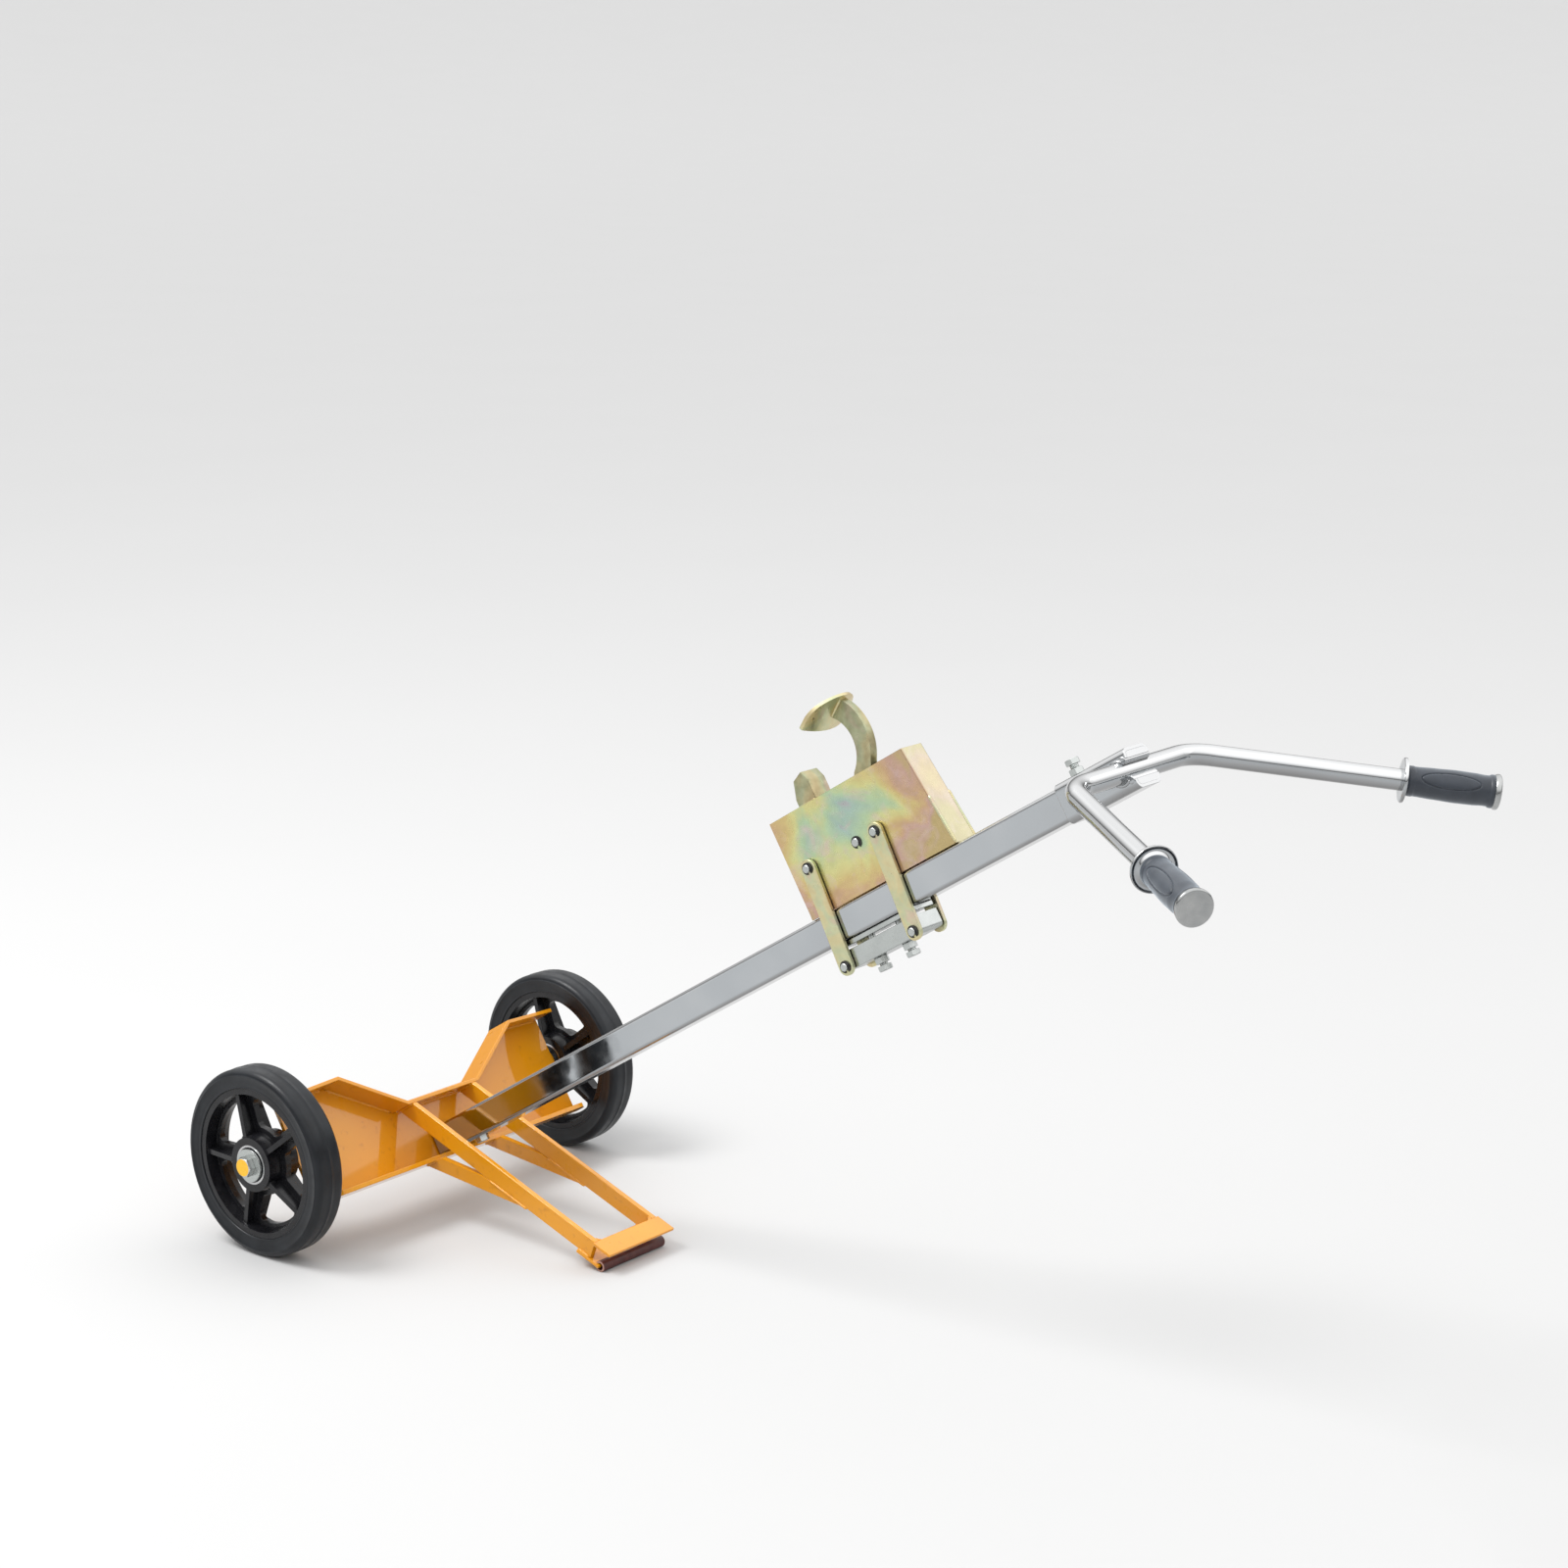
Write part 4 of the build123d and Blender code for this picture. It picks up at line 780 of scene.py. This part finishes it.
# The handle's beads were dressed smooth before plating
DRESSED_RIPPLE = 0.003
DRESSED_TAPER = 0.8
SEAM_R = 2.2
SEAM_REACH = 13.5
SEAM_OPEN = 50.0
SEAM_STEPS = 24
GROOVE_R = 5.0
GROOVE_PLACE = 6.0
GROOVE_SIDE = 11.5
GROOVE_END = 0.5


def handle_welds():
    """Beads round the crossbar where it lies in the socket's notch."""
    piece = Piece()
    for _, turn in SIDES:
        line = arc_points((BAR_S, MAST_MID_W), SEAM_REACH, SEAM_OPEN, 360.0 - SEAM_OPEN, SEAM_STEPS)
        add_bead(piece, [on_mast(s, w, turn * SOCKET_HALF) for s, w in line], SEAM_R, DRESSED_RIPPLE)
    for side in (-1, 1):
        w = MAST_MID_W + side * GROOVE_SIDE
        reach = SOCKET_HALF + GROOVE_END
        ends = [on_mast(SOCKET_END - GROOVE_PLACE, w, y) for y in (-reach, reach)]
        add_bead(piece, ends, GROOVE_R, DRESSED_RIPPLE, DRESSED_TAPER)
    piece.finish("handle_welds", "truck_frame", "chrome", crease=BEAD_CREASE)


# Bolt threads
THREAD_PITCH = 1.5
THREAD_DEPTH = 0.55
THREAD_COUNT = 24
THREAD_STEP = 0.05
SOCKET_THREAD = 5.0


def add_thread(piece, foot, axis, length, radius):
    """Thread ridges on a bolt's shank, from a foot along an axis."""
    profile = [(0.0, radius - THREAD_DEPTH)]
    turns = max(1, round(length / THREAD_PITCH))
    for k in range(turns):
        start = length * k / turns
        profile.append((start + THREAD_STEP, radius - THREAD_DEPTH / 2))
        profile.append((start + length / turns / 2, radius + THREAD_DEPTH / 2))
    profile.append((length, radius - THREAD_DEPTH / 2))
    profile.append((length, radius - THREAD_DEPTH))
    add_lathe(piece, foot, axis, profile, THREAD_COUNT)


def bolt_threads():
    shoe = Piece()
    for s in ADJUSTERS:
        low = CLAMP_UNDER - NUT_HEIGHT - ADJUSTER_STAND
        add_thread(shoe, on_mast(s, low), SQUARE, ADJUSTER_STAND, BOLT_R)
    shoe.finish("adjuster_threads", "pressure_shoe", "silver_zinc", crease=30.0)
    socket = Piece()
    top = MAST_MID_W + SOCKET_HALF + NUT_HEIGHT
    add_thread(socket, on_mast(SOCKET_BOLT_S, top), SQUARE, SOCKET_THREAD, BOLT_R)
    socket.finish("socket_threads", "truck_frame", "silver_zinc", crease=30.0)


# Tyres: outlines in millimetres, as (across, outwards) from the rim's edge, the side's ridge and the tread
TYRE_COUNT = 160
SIDE_RIDGE_R = 117.0
TYRE_FOOT = ((-3.0, 0.1), (0.6, 0.1), (1.3, 0.6), (1.5, 1.6), (1.2, 2.6))
TYRE_WALL = ((-1.0, 4.5), (-0.4, 9.0))
TYRE_RIDGE = ((-0.3, -2.0), (0.3, -1.0), (0.3, 0.0), (-0.4, 0.8))
TREAD_LINE = ((6.0, 0.0), (1.0, 0.0), (0.5, 0.35))
SHOULDER_START = 22.0
SHOULDER_STOP = 88.0
SHOULDER_STEPS = 8


def tyre_outline():
    """One side of the tyre from the rim to the middle of the tread, then mirrored."""
    half = [(RIM_HALF + a, RIM_R + r) for a, r in TYRE_FOOT]
    half += [(TYRE_HALF + a, RIM_R + r) for a, r in TYRE_WALL]
    half += [(TYRE_HALF + a, SIDE_RIDGE_R + r) for a, r in TYRE_RIDGE]
    centre = (TYRE_HALF - TYRE_SHOULDER, WHEEL_R - TYRE_SHOULDER)
    half += arc_points(centre, TYRE_SHOULDER, SHOULDER_START, SHOULDER_STOP, SHOULDER_STEPS)
    half += [(a, WHEEL_R + r) for a, r in TREAD_LINE]
    return half + [(-a, r) for a, r in reversed(half)]


def make_tyres():
    for side, turn in SIDES:
        piece = Piece()
        centre = AXLE + ACROSS * turn * WHEEL_Y * MM
        add_lathe(piece, centre, ACROSS, tyre_outline(), TYRE_COUNT)
        tyre = piece.finish(f"{side}_tyre_moulded", f"{side}_roller", "tyre_rubber", crease=35.0)
        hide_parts(f"{side}_tyre")


# Grips: a barrel with a flared end and two oval panels in grooved outlines
GRIP_RINGS = 150
GRIP_COUNT = 168
GRIP_SHAPE = ((0.0, 16.6), (2.0, 17.4), (6.0, 17.5), (9.0, 16.9), (30.0, 17.8), (55.0, 18.6), (75.0, 18.3),
              (88.0, 17.5), (92.0, 17.6), (94.5, 19.0), (97.0, 19.2), (98.0, 18.6))
OVAL_PLACE = 48.0
OVAL_LENGTH = 66.0
OVAL_WIDTH = 19.0
OVAL_RISE = 29.0
GROOVE_DEPTH = 1.3
GROOVE_WIDTH = 0.85
PANEL_RISE = 0.35
OVAL_SPAN = 1.2
GRIP_GAP = 0.05
GRIP_BORE = HANDLE_R + GRIP_GAP
NEAR_ZERO = 1e-6


def shape_at(shape, place):
    """Reads an outline between its points, rounding the corners."""
    for (a, r), (b, q) in zip(shape, shape[1:]):
        if place <= b:
            share = (place - a) / (b - a)
            share = share * share * (3 - 2 * share)
            return r + (q - r) * share
    return shape[-1][1]


def oval_relief(place, offset):
    """Height over the barrel near an oval's outline, in millimetres."""
    across = offset / (OVAL_WIDTH / 2)
    ahead = (place - OVAL_PLACE) / (OVAL_LENGTH / 2)
    size = hypot(across, ahead)
    if size < NEAR_ZERO:
        return PANEL_RISE
    slope = hypot(across / (OVAL_WIDTH / 2), ahead / (OVAL_LENGTH / 2)) / size
    gap = (size - 1.0) / slope
    groove = -GROOVE_DEPTH * exp(-(gap / GROOVE_WIDTH) ** 2)
    return groove + (PANEL_RISE if gap < 0 else 0.0)


def grip_radius(place, angle):
    """The grip's radius at a place along it and an angle round it, in metres."""
    barrel = shape_at(GRIP_SHAPE, place)
    relief = 0.0
    for middle in (radians(OVAL_RISE), pi - radians(OVAL_RISE)):
        turned = (angle - middle + pi) % (2 * pi) - pi
        if abs(turned) < OVAL_SPAN:
            relief += oval_relief(place, turned * barrel)
    return (barrel + relief) * MM


def make_grips():
    for side, turn in SIDES:
        axis = arm_axis(turn)
        start = on_arm(turn, ARM_LENGTH + FLANGE_THICKNESS)
        level = axis.cross(UP).normalized()
        top = level.cross(axis).normalized()
        piece = Piece()
        starts = [piece.ring(start, level, top, GRIP_BORE * MM, GRIP_COUNT)]
        for i in range(GRIP_RINGS + 1):
            place = GRIP_LENGTH * i / GRIP_RINGS
            centre = start + axis * place * MM
            starts.append(piece.ring(centre, level, top, partial(grip_radius, place), GRIP_COUNT))
        end = start + axis * GRIP_LENGTH * MM
        starts.append(piece.ring(end, level, top, GRIP_BORE * MM, GRIP_COUNT))
        for low, high in zip(starts, starts[1:] + starts[:1]):
            piece.skin(low, high, GRIP_COUNT)
        grip = piece.finish(f"{side}_grip_moulded", "truck_frame", "grip_rubber", crease=50.0)
        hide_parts(f"{side}_grip")


# Grip flanges: pressed rings with a rolled rim, as (distance, radius) in millimetres
FLANGE_SHAPE = ((0.4, GRIP_BORE), (FLANGE_THICKNESS, GRIP_BORE), (FLANGE_THICKNESS, 16.6), (5.2, 17.6),
                (3.4, 19.2), (2.6, 21.2), (2.7, 22.8), (3.7, 23.8), (4.3, 24.8), (4.0, 25.6), (3.0, 26.0),
                (1.4, 25.8), (0.4, 24.8), (0.0, 23.2), (0.2, 18.0))
FLANGE_COUNT = 96


def make_flanges():
    for side, turn in SIDES:
        piece = Piece()
        add_lathe(piece, on_arm(turn, ARM_LENGTH), arm_axis(turn), FLANGE_SHAPE, FLANGE_COUNT)
        name = f"{side}_flange_pressed"
        flange = piece.finish(name, "truck_frame", "grip_steel", MATERIALS["chrome"], crease=45.0)
        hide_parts(f"{side}_grip_flange")


frame_welds()
carriage_welds()
beak_welds()
handle_welds()
bolt_threads()
make_tyres()
make_grips()
make_flanges()


# Studio: a wide pale floor under a soft sky


def make_floor():
    piece = Piece()
    starts = []
    for radius, rise in FLOOR_RINGS:
        starts.append(piece.ring(UP * rise, Vector((1, 0, 0)), ACROSS, radius, FLOOR_SEGMENTS))
    piece.lid(starts[0], FLOOR_SEGMENTS, 1)
    for low, high in zip(starts, starts[1:]):
        piece.skin(high, low, FLOOR_SEGMENTS)
    mesh = bpy.data.meshes.new("studio_floor")
    mesh.from_pydata(piece.points, [], piece.faces)
    for polygon in mesh.polygons:
        polygon.use_smooth = True
    m = Shader("pale_floor")
    m.link(m.ramp(m.noise(1.5), (0.3, (0.518, 0.518, 0.518)), (0.7, (0.522, 0.522, 0.522))), "Base Color")
    m.set(roughness=0.8, specular_ior_level=0.1)
    mesh.materials.append(m.material)
    floor = bpy.data.objects.new("studio_floor", mesh)
    bpy.context.scene.collection.objects.link(floor)


# Lamps: place, target, size in metres and power in watts
KEY = ((-2.4, -2.2, 5.0), (0.0, 0.0, 0.4), 2.5, 190.0)
FILL = ((2.8, 3.8, 2.9), (0.0, 0.0, 0.5), 4.0, 15.0)

# Brightness of the sky by height: 0 is the horizon and 1 is overhead
SKY = ((0.0, 0.05), (0.12, 0.08), (0.28, 0.45), (0.5, 0.85), (1.0, 1.0))
SKY_STRENGTH = 1.7


def make_sky():
    """Soft overhead light that is darker towards the horizon."""
    world = bpy.data.worlds.new("soft_studio")
    bpy.context.scene.world = world
    world.use_nodes = True
    tree = world.node_tree
    place = tree.nodes.new("ShaderNodeTexCoord")
    split = tree.nodes.new("ShaderNodeSeparateXYZ")
    tree.links.new(place.outputs["Generated"], split.inputs["Vector"])
    band = tree.nodes.new("ShaderNodeValToRGB")
    while len(band.color_ramp.elements) < len(SKY):
        band.color_ramp.elements.new(1.0)
    for element, (height, grey) in zip(band.color_ramp.elements, SKY):
        element.position = height
        element.color = (grey, grey, grey, 1.0)
    tree.links.new(split.outputs["Z"], band.inputs["Fac"])
    background = tree.nodes["Background"]
    tree.links.new(band.outputs["Color"], background.inputs["Color"])
    background.inputs["Strength"].default_value = SKY_STRENGTH


def make_lamp(name, place, target, size, power):
    lamp = bpy.data.lights.new(name, "AREA")
    lamp.shape = "DISK"
    lamp.size = size
    lamp.energy = power
    thing = bpy.data.objects.new(name, lamp)
    thing.location = place
    thing.rotation_euler = (Vector(target) - Vector(place)).to_track_quat("-Z", "Y").to_euler()
    bpy.context.scene.collection.objects.link(thing)


def make_camera():
    yaw = radians(CAMERA_YAW)
    pitch = radians(CAMERA_PITCH)
    roll = radians(CAMERA_ROLL)
    back = Vector((sin(yaw) * cos(pitch), -cos(yaw) * cos(pitch), sin(pitch)))
    right = Vector((cos(yaw), sin(yaw), 0.0))
    up = back.cross(right)
    rolled_right = right * cos(roll) + up * sin(roll)
    rolled_up = up * cos(roll) - right * sin(roll)
    lens = bpy.data.cameras.new("photo_camera")
    lens.sensor_width = SENSOR_WIDTH
    lens.lens = CAMERA_FOCUS / FRAME_PIXELS * SENSOR_WIDTH
    camera = bpy.data.objects.new("photo_camera", lens)
    camera.matrix_world = Matrix((rolled_right, rolled_up, back)).transposed().to_4x4()
    camera.location = Vector((AXLE.x, 0.0, 0.0)) + Vector(CAMERA_PLACE) * MM
    bpy.context.scene.collection.objects.link(camera)
    bpy.context.scene.camera = camera


make_floor()
make_sky()
make_camera()
make_lamp("key", *KEY)
make_lamp("fill", *FILL)
bpy.context.scene.view_settings.view_transform = "Standard"
